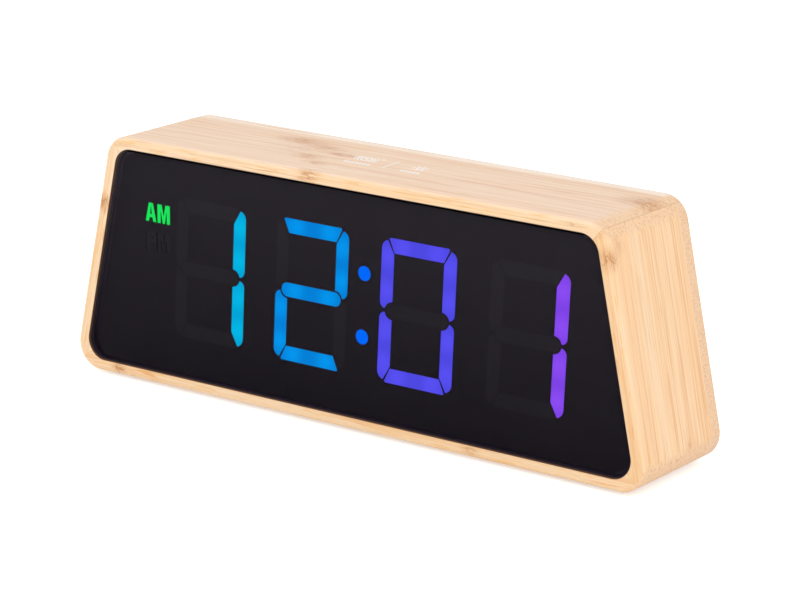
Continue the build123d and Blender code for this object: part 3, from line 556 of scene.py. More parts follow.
    def _glow(self) -> bpy.types.NodeTree:
        """The soft bright spots over the lamps behind a digit's segments.

        Returns:
            The group's tree.
        """
        takes = {
            "Place": "Vector", "Middle": "Vector", "Slant": "Float", "Column": "Vector", "Bar": "Vector",
            "Reach": "Float",
        }
        sheet, given, out = new_group(Pattern.GLOW.value, takes, {"Mask": "Float"})
        x, _, z = sheet.apart(sheet.vector("SUBTRACT", given["Place"], given["Middle"]))
        upright = sheet.math("ABSOLUTE", sheet.math("SUBTRACT", x, sheet.math("MULTIPLY", z, given["Slant"])))
        folded = sheet.together(upright, 0.0, sheet.math("ABSOLUTE", z))
        column_x, column_low, column_high = sheet.apart(given["Column"])
        bar_x, _, bar_z = sheet.apart(given["Bar"])
        lamps = (
            sheet.together(column_x, 0.0, column_low), sheet.together(column_x, 0.0, column_high),
            sheet.together(bar_x, 0.0, bar_z), sheet.together(bar_x, 0.0, 0.0),
        )
        nearest = None
        for lamp in lamps:
            length = sheet.vector("LENGTH", sheet.vector("SUBTRACT", folded, lamp))
            nearest = length if nearest is None else sheet.math("MINIMUM", nearest, length)
        out("Mask", sheet.ease(nearest, 0.0, given["Reach"], 1.0, 0.0))
        return sheet.tree


# Finishes


@dataclass(frozen=True)
class PlainFinish:
    """A moulded, painted, sawn, printed or plated surface with soft patches and a fine grain.

    Sizes are in millimetres, and bump is the height of the grain. A clear surface given a painted shadow
    height turns opaque and dark above it. This is a painted shadow line along its top, standing in for the
    shade under what overhangs it.
    """

    name: str
    colour: Colour
    worn: Colour
    roughness: float = 0.5
    spread: float = 0.12
    metallic: float = 0.0
    specular: float = 0.5
    patch: float = 7.0
    grain: float = 0.5
    grain_share: float = 0.35
    stretch: Point = UNSTRETCHED
    bump: float = 0.02
    alpha: float = 1.0
    painted_shadow_level: float | None = None
    painted_shadow_ease: float = 0.2

    def build(self, patterns: Patterns) -> bpy.types.Material:
        """Makes the material.

        Args:
            patterns: The shared node groups.

        Returns:
            The finished material.
        """
        material, sheet, shader = new_material(self.name)
        place = grain_place(sheet)
        surface = patterns.place(
            sheet, Pattern.SURFACE, Place=place, Stretch=self.stretch, Patch_Size=self.patch,
            Grain_Size=self.grain,
        )
        patches, grain = surface.outputs["Patches"], surface.outputs["Grain"]
        broad = sheet.math("MULTIPLY", patches, 1.0 - self.grain_share)
        both = sheet.math("MULTIPLY_ADD", grain, self.grain_share, broad)
        sheet.feed(shader.inputs["Base Color"], sheet.mix(both, self.colour, self.worn))
        low = self.roughness - self.spread / 2
        sheet.feed(shader.inputs["Roughness"], sheet.math("MULTIPLY_ADD", both, self.spread, low))
        shader.inputs["Metallic"].default_value = self.metallic
        shader.inputs["Specular IOR Level"].default_value = self.specular
        shader.inputs["Alpha"].default_value = self.alpha
        # Above the painted shadow height the clear surface is opaque in its own dark colour: painted shadow
        if self.painted_shadow_level is not None:
            height = sheet.apart(place)[2]
            painted_shadow_alpha = sheet.ease(height, self.painted_shadow_level, self.painted_shadow_level + self.painted_shadow_ease, self.alpha, 1.0)
            sheet.feed(shader.inputs["Alpha"], painted_shadow_alpha)
        if self.bump:
            bump = sheet.add("ShaderNodeBump", Height=grain, Distance=self.bump * MM, Strength=1.0)
            sheet.feed(shader.inputs["Normal"], bump.outputs[0])
        return material


@dataclass(frozen=True)
class GlowFinish:
    """A translucent diffuser with lamps behind it. Sizes are in millimetres.

    The column holds how far the uprights' lamps are from the digit's middle, and then their two heights. The
    bar holds the place of an outer bar's lamps. Those of the middle bar are as far out, at the middle height.
    """

    name: str
    dim: Colour
    bright: Colour
    middle: Point
    strength: float = 2.37
    slant: float = math.tan(math.radians(2.4))
    column: Point = (10.96, 5.87, 15.88)
    bar: Point = (6.08, 0.0, 19.525)
    reach: float = 5.2
    cloud_scale: float = 0.35
    cloud_swing: float = 0.30
    body: Colour = (0.002, 0.002, 0.002)
    grain_scale: float = 2.5
    grain_ramp: Ramp = (0.3, 0.7)
    grain_shade: float = 0.9
    roughness: float = 0.6
    roughness_rise: float = 0.1

    def build(self, patterns: Patterns) -> bpy.types.Material:
        """Makes the material, with the glow in its emission colour.

        Args:
            patterns: The shared node groups.

        Returns:
            The finished material.
        """
        material, sheet, shader = new_material(self.name)
        place = grain_place(sheet)
        glow = patterns.place(
            sheet, Pattern.GLOW, Place=place, Middle=self.middle, Slant=self.slant, Column=self.column,
            Bar=self.bar, Reach=self.reach,
        )
        cloudy = sheet.math("SUBTRACT", sheet.noise(place, self.cloud_scale), 0.5)
        share = sheet.math("MULTIPLY_ADD", cloudy, self.cloud_swing, glow.outputs["Mask"])
        share = sheet.math("MINIMUM", sheet.math("MAXIMUM", share, 0.0), 1.0)
        sheet.feed(shader.inputs["Emission Color"], sheet.mix(share, self.dim, self.bright))
        shader.inputs["Emission Strength"].default_value = self.strength
        grainy = sheet.noise(place, self.grain_scale)
        shade = tuple(self.grain_shade * part for part in self.body)
        sheet.feed(shader.inputs["Base Color"], sheet.mix(grainy, self.body, shade))
        rougher = self.roughness + self.roughness_rise
        sheet.feed(shader.inputs["Roughness"], sheet.ease(grainy, *self.grain_ramp, self.roughness, rougher))
        shader.inputs["Specular IOR Level"].default_value = 0.0
        return material


@dataclass(frozen=True)
class FilmFinish:
    """A dark glossy film behind the smoked panel, paler towards its top. That gradient by height is a painted
    reflection, standing in for the panel's reflection growing darker towards its foot. Heights are in
    millimetres.
    """

    name: str
    lift: float = 0.0
    low: Colour = (0.018, 0.009, 0.025)
    high: Colour = (0.0736, 0.0587, 0.0836)
    low_level: float = 6.0
    high_level: float = 72.0
    patch: float = 28.0
    grain: float = 6.0
    mottle: float = 0.04
    roughness: float = 0.12
    specular: float = 0.35

    def build(self, patterns: Patterns) -> bpy.types.Material:
        """Makes the material.

        Args:
            patterns: The shared node groups.

        Returns:
            The finished material.
        """
        material, sheet, shader = new_material(self.name)
        place = grain_place(sheet)
        # The gradient by height is painted reflection
        height = sheet.apart(place)[2]
        rise = sheet.math("SUBTRACT", height, self.low_level)
        share = sheet.math("DIVIDE", rise, self.high_level - self.low_level)
        low, high = (tuple(part + self.lift for part in colour) for colour in (self.low, self.high))
        surface = patterns.place(
            sheet, Pattern.SURFACE, Place=place, Stretch=UNSTRETCHED, Patch_Size=self.patch,
            Grain_Size=self.grain,
        )
        patches = sheet.math("SUBTRACT", surface.outputs["Patches"], 0.5)
        share = sheet.math("MULTIPLY_ADD", patches, self.mottle, share)
        sheet.feed(shader.inputs["Base Color"], sheet.mix(share, low, high))
        shader.inputs["Roughness"].default_value = self.roughness
        shader.inputs["Specular IOR Level"].default_value = self.specular
        return material


@dataclass(frozen=True)
class Knuckle:
    """One knuckle mark: its middle, its reach along x, y and z, in millimetres, and how strong it is."""

    middle: Point
    reach: Point
    strength: float


@dataclass(frozen=True)
class BambooFinish:
    """Lacquered bamboo for one board. Sizes are in millimetres.

    The turn about y and the tip about x, in radians, bring its grain onto x. Faces that look inward, such as
    the walls of the display's opening, take a dark brown that is painted shade. Joints are the strengths of
    the upper and the lower mitre lines.
    """

    name: str
    turn: float
    inward: Point
    knuckles: tuple[Knuckle, ...] = ()
    tip: float = 0.0
    pale: Colour = srgb(255, 222, 184)
    warm: Colour = srgb(250, 201, 148)
    lip_pale: Colour = srgb(250, 223, 190)
    lip_warm: Colour = srgb(240, 198, 148)
    golden: Colour = srgb(238, 186, 118)
    fibre: Colour = srgb(230, 168, 106)
    dot: Colour = srgb(208, 150, 100)
    end: Colour = srgb(245, 207, 168)
    knuckle: Colour = srgb(196, 136, 84)
    # Painted shade for the faces that look inward
    inward_shade: Colour = srgb(96, 60, 34)
    glue: Colour = srgb(172, 120, 78)
    contrast: float = 1.0
    joints: tuple[float, float] = (0.42, 0.15)
    strip_width: float = 5.6
    upper_corner: Point = (88.97, 0.0, 76.6)
    upper_normal: Point = (0.777, 0.0, -0.629)
    lower_corner: Point = (105.0, 0.0, 1.2)
    lower_normal: Point = (0.629, 0.0, 0.777)
    joint_width: float = 0.16
    inward_shade_ramp: Ramp = (0.15, 0.45)
    board: float = 7.5
    specular: float = 0.42
    bump: float = 0.03

    def build(self, patterns: Patterns) -> bpy.types.Material:
        """Makes the material.

        Args:
            patterns: The shared node groups.

        Returns:
            The finished material.
        """
        material, sheet, shader = new_material(self.name)
        to_grain = Euler((self.tip, self.turn, 0.0)).to_matrix()
        along = to_grain.inverted() @ Vector((1.0, 0.0, 0.0))
        place = grain_place(sheet, self.turn, self.tip)
        straight = grain_place(sheet)
        normal = sheet.add("ShaderNodeTexCoord").outputs["Normal"]
        cut = sheet.math("ABSOLUTE", sheet.vector("DOT_PRODUCT", normal, tuple(along)))
        front = sheet.vector("DOT_PRODUCT", normal, (0.0, -1.0, 0.0))
        wood = patterns.place(
            sheet, Pattern.BAMBOO, Place=place, Cut=cut, Front=front, Strip_Width=self.strip_width,
            Contrast=self.contrast, Pale=self.pale, Warm=self.warm, Lip_Pale=self.lip_pale,
            Lip_Warm=self.lip_warm, Golden=self.golden, Fibre=self.fibre, Dot=self.dot, End=self.end,
        )
        colour = wood.outputs["Colour"]
        for mark in self.knuckles:
            middle = to_grain @ Vector(mark.middle)
            reach = tuple(abs(part) for part in to_grain @ Vector(mark.reach))
            found = patterns.place(
                sheet, Pattern.KNUCKLE, Place=place, Middle=tuple(middle), Reach=reach, Strength=mark.strength
            )
            colour = sheet.mix(found.outputs["Mask"], colour, self.knuckle)
        joint = patterns.place(
            sheet, Pattern.JOINT, Place=straight, Width=self.joint_width, Board=self.board,
            Upper_Corner=self.upper_corner, Upper_Normal=self.upper_normal, Upper_Strength=self.joints[0],
            Lower_Corner=self.lower_corner, Lower_Normal=self.lower_normal, Lower_Strength=self.joints[1],
        )
        colour = sheet.mix(joint.outputs["Mask"], colour, self.glue)
        # Faces that look inward, into the opening and the case, darken to brown: painted shade
        inner = sheet.ease(sheet.vector("DOT_PRODUCT", normal, self.inward), *self.inward_shade_ramp)
        colour = sheet.mix(inner, colour, self.inward_shade)
        sheet.feed(shader.inputs["Base Color"], colour)
        sheet.feed(shader.inputs["Roughness"], wood.outputs["Roughness"])
        shader.inputs["Specular IOR Level"].default_value = self.specular
        rise = wood.outputs["Height"]
        bump = sheet.add("ShaderNodeBump", Height=rise, Distance=self.bump * MM, Strength=1.0)
        sheet.feed(shader.inputs["Normal"], bump.outputs[0])
        return material


# Modelling helpers


def edit(piece: bpy.types.Object, kind: str = "VERT") -> None:
    """Selects one piece alone and opens it in edit mode with nothing in it selected.

    Args:
        piece: The piece.
        kind: What is picked in it: VERT, EDGE or FACE.
    """
    bpy.ops.object.select_all(action="DESELECT")
    piece.select_set(True)
    bpy.context.view_layer.objects.active = piece
    bpy.ops.object.mode_set(mode="EDIT")
    bpy.ops.mesh.select_mode(type=kind)
    bpy.ops.mesh.select_all(action="DESELECT")


def close(piece: bpy.types.Object) -> bpy.types.Object:
    """Leaves edit mode and returns the piece."""
    bpy.ops.object.mode_set(mode="OBJECT")
    return piece


def pick_vertices(piece: bpy.types.Object, test: Callable[[Vector], bool]) -> None:
    """Opens a piece in edit mode with the vertices selected whose place passes a test.

    Args:
        piece: The piece.
        test: Takes a vertex's place and says whether it is selected.
    """
    edit(piece, "VERT")
    close(piece)
    for vertex in piece.data.vertices:
        vertex.select = test(vertex.co)
    bpy.ops.object.mode_set(mode="EDIT")


def pick_edges(piece: bpy.types.Object, test: Callable[[Vector, Vector], bool]) -> None:
    """Opens a piece in edit mode with the edges selected whose two ends pass a test.

    Args:
        piece: The piece.
        test: Takes the places of an edge's two ends and says whether it is selected.
    """
    edit(piece, "EDGE")
    close(piece)
    for edge in piece.data.edges:
        edge.select = test(*(piece.data.vertices[index].co for index in edge.vertices))
    bpy.ops.object.mode_set(mode="EDIT")


def pick_faces(piece: bpy.types.Object, test: Callable[[bpy.types.MeshPolygon], bool]) -> None:
    """Opens a piece in edit mode with the faces selected that pass a test.

    Args:
        piece: The piece.
        test: Takes a face and says whether it is selected.
    """
    edit(piece, "FACE")
    close(piece)
    for face in piece.data.polygons:
        face.select = test(face)
    bpy.ops.object.mode_set(mode="EDIT")


def primitive(adder: Callable, name: str, **sizes: object) -> bpy.types.Object:
    """Adds a primitive and names it.

    Args:
        adder: The operator that adds it.
        name: The piece's name.
        sizes: The operator's sizes and place.

    Returns:
        The new object.
    """
    bpy.ops.object.select_all(action="DESELECT")
    adder(**sizes)
    piece = bpy.context.active_object
    piece.name = name
    piece.data.name = name
    return piece


def bake_place(piece: bpy.types.Object) -> bpy.types.Object:
    """Moves a piece's place into its mesh, so that its object sits at the origin.

    Args:
        piece: The piece.

    Returns:
        The piece.
    """
    bpy.ops.object.select_all(action="DESELECT")
    piece.select_set(True)
    bpy.context.view_layer.objects.active = piece
    bpy.ops.object.transform_apply(location=True, rotation=True, scale=True)
    return piece


def modify(piece: bpy.types.Object, kind: str, **settings: object) -> None:
    """Adds a modifier, sets it and applies it.

    Args:
        piece: The piece.
        kind: The modifier's kind, such as BEVEL.
        settings: Its settings.
    """
    modifier = piece.modifiers.new(kind.lower(), kind)
    for name, value in settings.items():
        setattr(modifier, name, value)
    bpy.context.view_layer.objects.active = piece
    bpy.ops.object.modifier_apply(modifier=modifier.name)


def join(pieces: list[bpy.types.Object], name: str) -> bpy.types.Object:
    """Joins pieces into one.

    Args:
        pieces: The pieces, of which the first stays.
        name: The name of the whole.

    Returns:
        The joined piece.
    """
    bpy.ops.object.select_all(action="DESELECT")
    for piece in pieces:
        piece.select_set(True)
    bpy.context.view_layer.objects.active = pieces[0]
    if len(pieces) > 1:
        bpy.ops.object.join()
    pieces[0].name = name
    pieces[0].data.name = name
    return pieces[0]


def merged_copy(node: bpy.types.Object, name: str) -> bpy.types.Object:
    """Copies a node of the model, closes its mesh and smooths it.

    Args:
        node: The node's object.
        name: The copy's name.

    Returns:
        The copy.
    """
    copy = bpy.data.objects.new(name, node.data.copy())
    copy.data.name = name
    copy.data.materials.clear()
    bpy.context.scene.collection.objects.link(copy)
    edit(copy)
    bpy.ops.mesh.select_all(action="SELECT")
    bpy.ops.mesh.remove_doubles(threshold=MERGE_REACH)
    if copy.data.has_custom_normals:
        bpy.ops.mesh.customdata_custom_splitnormals_clear()
    close(copy)
    bpy.ops.object.shade_smooth_by_angle(angle=SHARP_ANGLE)
    return copy


class Clock:
    """What the sub-assemblies share: the model's nodes, the patterns and the way pieces are finished."""

    def __init__(self, frame: dict) -> None:
        """Takes the loaded frame and builds the shared patterns.

        Args:
            frame: The model's bodies, nodes, joints and record.
        """
        self.nodes = frame["nodes"]
        self.patterns = Patterns()
        self.slots = {part["node"]: part["material_slot"] for part in frame["record"]["subparts"]}
        self.bodies = {
            name: body for body, members in frame["record"]["behaviour"]["bodies"].items() for name in members
        }

    def dress(self, nodes: Iterable[str], material: bpy.types.Material) -> None:
        """Gives nodes that keep their own shape a material.

        Args:
            nodes: The nodes' names.
            material: Their material.
        """
        for name in nodes:
            mesh = self.nodes[name].data
            mesh.materials.clear()
            mesh.materials.append(material)
            LOG.info("%s wears %s", name, material.name)

    def settle(
        self, piece: bpy.types.Object, material: bpy.types.Material, body: str, slot: str, *replaced: str
    ) -> None:
        """Finishes a piece and ties it to the model.

        Args:
            piece: The piece.
            material: Its material.
            body: The body that it rides on.
            slot: The record's slot that it takes its finish from; not used.
            replaced: The nodes that it stands for.
        """
        piece.data.materials.clear()
        piece.data.materials.append(material)
        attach(piece, body)
        if replaced:
            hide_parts(*replaced)
        LOG.info("%s rides on %s", piece.name, body)

    def smooth(self, node: str, material: bpy.types.Material) -> None:
        """Puts a smooth copy in a node's place.

        Args:
            node: The node.
            material: The copy's material.
        """
        copy = merged_copy(self.nodes[node], f"{node}_shown")
        self.settle(copy, material, self.bodies[node], self.slots[node], node)


# Sub-assemblies


@dataclass
class WoodenCase:
    """The four mitred boards, the back board and the feet."""

    clock: Clock
    foot_bevel: float = 0.35 * MM
    bevel_steps: int = 3
    rubber: PlainFinish = PlainFinish(
        "foot_rubber", (0.018, 0.018, 0.018), (0.035, 0.034, 0.033), 0.82, 0.12, grain=0.25, bump=0.03
    )
    # The top board's own tones, duller and pinker than the other boards', are painted light: they stand in
    # for how the top face is lit
    top: BambooFinish = BambooFinish(
        "bamboo_top", 0.0, (0.0, 0.0, -1.0), pale=srgb(247, 219, 194), warm=srgb(239, 201, 165),
        fibre=srgb(220, 168, 124), lip_pale=srgb(251, 225, 193), lip_warm=srgb(244, 206, 160), contrast=0.85,
        knuckles=(
            Knuckle((-30.0, 3.0, 76.6), (21.0, 15.0, 8.0), 0.42),
            Knuckle((-37.5, 8.7, 76.6), (13.0, 5.4, 8.0), 1.20),
            Knuckle((-26.0, 5.4, 76.6), (11.0, 4.4, 8.0), 0.80),
            Knuckle((-17.5, 1.1, 76.6), (10.0, 3.2, 8.0), 1.35),
            Knuckle((-24.0, -6.5, 76.6), (8.0, 3.8, 8.0), 1.20),
            Knuckle((-17.5, -11.8, 76.6), (7.0, 3.2, 8.0), 1.00),
            Knuckle((-13.0, -20.1, 74.8), (7.0, 2.2, 4.0), 1.40),
            Knuckle((78.0, -20.1, 74.9), (7.0, 2.0, 1.2), 1.00),
            Knuckle((84.5, 7.0, 76.6), (13.0, 8.0, 8.0), 1.25),
            Knuckle((60.0, 2.4, 76.6), (6.0, 2.0, 8.0), 0.40),
        ),
    )
    bottom: BambooFinish = BambooFinish(
        "bamboo_bottom", 0.0, (0.0, 0.0, 1.0),
        knuckles=(
            Knuckle((-86.7, -20.0, 3.2), (4.4, 6.0, 2.8), 1.70),
            Knuckle((45.3, -20.0, 3.4), (5.0, 6.0, 2.4), 0.90),
            Knuckle((8.0, 4.4, 1.2), (9.0, 4.0, 6.0), 0.60),
        ),
    )
    left: BambooFinish = BambooFinish(
        "bamboo_left", math.radians(78.0), (0.978, 0.0, -0.208),
        knuckles=(
            Knuckle((-92.0, -20.2, 55.2), (5.6, 5.0, 3.4), 2.10),
            Knuckle((-97.4, -20.4, 7.1), (0.8, 1.6, 1.4), 1.60),
            Knuckle((-97.0, 5.4, 33.0), (6.0, 3.0, 7.0), 0.50),
        ),
    )
    right: BambooFinish = BambooFinish(
        "bamboo_right", math.radians(102.0), (-0.978, 0.0, -0.208),
        knuckles=(
            Knuckle((89.4, -20.0, 66.6), (3.2, 3.2, 6.0), 1.70),
            Knuckle((87.4, -20.6, 73.4), (2.6, 1.4, 3.0), 0.60),
            Knuckle((90.2, -16.5, 69.5), (4.0, 4.0, 5.0), 0.50),
            Knuckle((103.1, 3.6, 10.2), (6.0, 2.4, 5.0), 0.60),
        ),
    )
    # The back board's paler tones are partly a paler board and partly a painted highlight along the case's
    # rear top edge
    back: BambooFinish = BambooFinish(
        "bamboo_back", 0.0, (0.0, -1.0, 0.0), tip=math.radians(90.0), pale=srgb(254, 238, 224),
        warm=srgb(247, 222, 198), fibre=srgb(232, 186, 140), end=srgb(243, 201, 159), dot=srgb(200, 144, 100),
        joints=(0.0, 0.0),
        knuckles=(
            Knuckle((-66.0, 20.8, 66.0), (9.0, 6.0, 3.0), 0.80),
            Knuckle((38.0, 20.8, 9.0), (8.0, 6.0, 3.0), 0.80),
        ),
    )

    def build(self) -> None:
        """Puts smooth boards and feet in place of the model's."""
        boards = {
            "top_board": self.top, "bottom_board": self.bottom, "left_board": self.left,
            "right_board": self.right, "back_board": self.back,
        }
        for name, finish in boards.items():
            self.clock.smooth(name, finish.build(self.clock.patterns))
        feet = merged_copy(self.clock.nodes["feet"], "feet_shown")
        modify(feet, "BEVEL", width=self.foot_bevel, segments=self.bevel_steps, limit_method="ANGLE")
        self.clock.settle(feet, self.rubber.build(self.clock.patterns), CASE_BODY, "foot_rubber", "feet")


SEGMENTS_SHOWN = {
    "0": "abcdef", "1": "bc", "2": "abdeg", "3": "abcdg", "4": "bcfg",
    "5": "acdfg", "6": "acdefg", "7": "abc", "8": "abcdefg", "9": "abcdfg",
}


@dataclass
class Display:
    """The smoked front, the film behind it, and the digits, dots and marks that glow through it.

    Sizes are in metres, but the digits' middles and middle height are in millimetres, as finishes read them.
    The hem, above and below, and the rim, at the sides, are paler strips round the panel's back. They are
    painted light that offsets the frame's shadow on the film behind the panel.
    Shares of the half height tell a digit's upper and lower bars and its middle bar from its uprights.
    """

    clock: Clock
    shown: str = "1201"
    panel_gap: float = 0.06 * MM
    hem_width: float = 0.6 * MM
    rim_width: float = 1.3 * MM
    rim_reach: float = 80.0 * MM
    border_width: float = 3.9 * MM
    border_gap: float = 0.02 * MM
    border_thickness: float = 0.03 * MM
    digit_middles: tuple[float, ...] = (-51.76, -13.59, 24.59, 62.76)
    middle_height: float = 38.9
    half_height: float = 21.75 * MM
    outer_share: float = 0.75
    middle_share: float = 0.25
    glows: tuple[tuple[Colour, Colour], ...] = (
        (srgb(0, 163, 214), srgb(2, 183, 229)),
        (srgb(2, 127, 214), srgb(3, 149, 238)),
        (srgb(77, 72, 225), srgb(88, 79, 242)),
        (srgb(125, 66, 228), srgb(139, 76, 242)),
    )
    dot_glow: tuple[Colour, Colour] = (srgb(0, 103, 250), srgb(0, 107, 255))
    green_glow: tuple[Colour, Colour] = (srgb(26, 228, 92), srgb(44, 244, 104))
    # Above 72.12 mm the smoked front turns opaque and dark: a painted shadow line under the top board's lip
    smoked: PlainFinish = PlainFinish(
        "smoked_front", (0.0014, 0.0010, 0.0016), (0.0018, 0.0013, 0.0020), 0.10, 0.04, specular=0.0,
        patch=60.0, grain=9.0, bump=0.0, alpha=0.35, painted_shadow_level=72.12,
    )
    film: FilmFinish = FilmFinish("black_film")
    # The rim is painted light, about three times as pale as the film, to offset the frame's shadow on the
    # film
    rim: FilmFinish = FilmFinish("rim_painted_light", low=(0.062, 0.036, 0.082), high=(0.184, 0.149, 0.207))
    # The edge's grey is painted light: paler than the film so that the edge, in shade, matches it
    edge: FilmFinish = FilmFinish(
        "edge_paint_and_painted_light", low=(0.130, 0.112, 0.152), high=(0.30, 0.28, 0.30), specular=0.0
    )
    # The unlit segments share the film's painted reflection, lifted a little paler
    unlit: FilmFinish = FilmFinish("unlit_diffuser", lift=0.017)
    white: PlainFinish = PlainFinish(
        "white_moulding", (0.78, 0.78, 0.77), (0.84, 0.84, 0.83), 0.5, 0.12, grain=0.4
    )

    def build(self) -> None:
        """Puts the panel and the lit and unlit pieces in place."""
        patterns = self.clock.patterns
        self._panel(self.smoked.build(patterns))
        film = self.film.build(patterns)
        self._border("panel_border", film)
        # The paler rim is painted light over the frame's shadow
        self._border("panel_painted_light_rim", self.rim.build(patterns), rim=True)
        self._edge(self.edge.build(patterns))
        self.clock.dress(["window_film", "panel_tape"], film)
        dark = self.unlit.build(patterns)
        for number, figure in enumerate(self.shown):
            middle = (self.digit_middles[number], 0.0, self.middle_height)
            lit = GlowFinish(f"digit_{number + 1}_glow", *self.glows[number], middle).build(patterns)
            self._digit(number, figure, lit, dark)
        centre = (0.0, 0.0, self.middle_height)
        self.clock.smooth("colon_dots", GlowFinish("dot_glow", *self.dot_glow, centre).build(patterns))
        self.clock.smooth("am_diffuser", GlowFinish("morning_glow", *self.green_glow, centre).build(patterns))
        self.clock.dress(["pm_diffuser"], dark)
        self.clock.dress(["reflector"], self.white.build(patterns))

    def _panel(self, material: bpy.types.Material) -> None:
        """Makes the smoked panel with its back a hair in front of the pieces behind it.

        Args:
            material: Its material.
        """
        panel = merged_copy(self.clock.nodes["front_panel"], "front_panel_shown")
        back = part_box("front_panel")[1].y
        pick_vertices(panel, lambda place: abs(place.y - back) < MERGE_REACH)
        bpy.ops.transform.translate(value=(0.0, -self.panel_gap, 0.0))
        close(panel)
        self.clock.settle(panel, material, CASE_BODY, "smoked_panel", "front_panel")

    def _in_rim(self, face: bpy.types.MeshPolygon) -> bool:
        """Says whether a strip of the border belongs to its paler rim, the painted light that offsets the
        frame's shadow.

        Args:
            face: A face of the border.

        Returns:
            Whether it is one of the strips at both sides, or of the narrow ones above and below.
        """
        low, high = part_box("front_panel")
        beyond = face.center.z < low.z + self.hem_width or face.center.z > high.z - self.hem_width
        return len(face.vertices) == STRIP_CORNERS and (abs(face.center.x) > self.rim_reach or beyond)

    def _border(self, name: str, material: bpy.types.Material, rim: bool = False) -> None:
        """Prints a dark border round the panel's back, or the paler rim in the gaps in it. That rim is
        painted light, offsetting the frame's shadow on the film.

        Args:
            name: The piece's name.
            material: Its paint.
            rim: Whether the rim is made in place of the rest of the border.
        """
        border = merged_copy(self.clock.nodes["front_panel"], name)
        pick_faces(border, lambda face: face.normal.y < BACK_SHARE)
        bpy.ops.mesh.delete(type="FACE")
        bpy.ops.mesh.select_all(action="SELECT")
        bpy.ops.mesh.dissolve_faces()
        bpy.ops.mesh.inset(thickness=self.hem_width, depth=0.0)
        bpy.ops.mesh.inset(thickness=self.rim_width - self.hem_width, depth=0.0)
        close(border)
        pick_faces(border, lambda face: self._in_rim(face) != rim)
        bpy.ops.mesh.delete(type="FACE")
        close(border)
        if not rim:
            pick_faces(border, lambda face: len(face.vertices) > STRIP_CORNERS)
            bpy.ops.mesh.inset(thickness=self.border_width - self.rim_width, depth=0.0)
            bpy.ops.mesh.delete(type="FACE")
            close(border)
        pick_faces(border, lambda face: True)
        bpy.ops.transform.translate(value=(0.0, self.border_gap - self.panel_gap, 0.0))
        close(border)
        modify(border, "SOLIDIFY", thickness=self.border_thickness, offset=1.0)
        border.data.shade_flat()
        self.clock.settle(border, material, CASE_BODY, "black_film")

    def _edge(self, material: bpy.types.Material) -> None:
        """Paints the panel's edge all round, in a grey much paler than the film. The paint is real; its
        paleness is painted light that offsets the shade on the edge.

        Args:
            material: Its paint.
        """
        edge = merged_copy(self.clock.nodes["front_panel"], "panel_edge")
        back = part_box("front_panel")[1].y
        pick_faces(edge, lambda face: abs(face.normal.y) > FLAT_SHARE)
        bpy.ops.mesh.delete(type="FACE")
        bpy.ops.mesh.select_all(action="SELECT")
        bpy.ops.transform.shrink_fatten(value=self.border_gap, use_even_offset=True)
        close(edge)
        pick_vertices(edge, lambda place: place.y > back - MERGE_REACH)
        bpy.ops.transform.translate(value=(0.0, -self.panel_gap, 0.0))
        close(edge)
        modify(edge, "SOLIDIFY", thickness=self.border_thickness, offset=1.0, use_even_offset=True)
        self.clock.settle(edge, material, CASE_BODY, "black_film")

    def _segment_letter(self, piece: bpy.types.Object, number: int) -> str:
        """Says which segment of its digit a piece is.

        Args:
            piece: One segment alone.
            number: The digit's number, from 0.

        Returns:
            The segment's usual letter, a to g.
        """
        corners = [Vector(corner) for corner in piece.bound_box]
        middle = sum(corners, Vector()) / len(corners)
        right = middle.x > self.digit_middles[number] * MM
        rise = (middle.z - self.middle_height * MM) / self.half_height
        if abs(rise) > self.outer_share:
            return "a" if rise > 0 else "d"
        if abs(rise) < self.middle_share:
            return "g"
        upper = rise > 0
        return ("b" if upper else "c") if right else ("f" if upper else "e")

    def _digit(self, number: int, figure: str, lit: bpy.types.Material, dark: bpy.types.Material) -> None:
        """Splits a digit's segments and sets each group alight or leaves it dark.

        Args:
            number: The digit's number, from 0.
            figure: The figure that it shows.
            lit: The material of the segments that glow.
            dark: The material of the others.
        """
        node = f"digit_{number + 1}_segments"
        whole = merged_copy(self.clock.nodes[node], f"{node}_whole")
        edit(whole)
        bpy.ops.mesh.select_all(action="SELECT")
        bpy.ops.mesh.separate(type="LOOSE")
        bpy.ops.object.mode_set(mode="OBJECT")
        groups: dict[bool, list[bpy.types.Object]] = {True: [], False: []}
        for piece in list(bpy.context.selected_objects):
            letter = self._segment_letter(piece, number)
            groups[letter in SEGMENTS_SHOWN[figure]].append(piece)
        slot = self.clock.slots[node]
        glowing = join(groups[True], f"digit_{number + 1}_lit")
        self.clock.settle(glowing, lit, CASE_BODY, slot, node)
        if groups[False]:
            still = join(groups[False], f"digit_{number + 1}_unlit")
            self.clock.settle(still, dark, CASE_BODY, "unlit_diffuser")


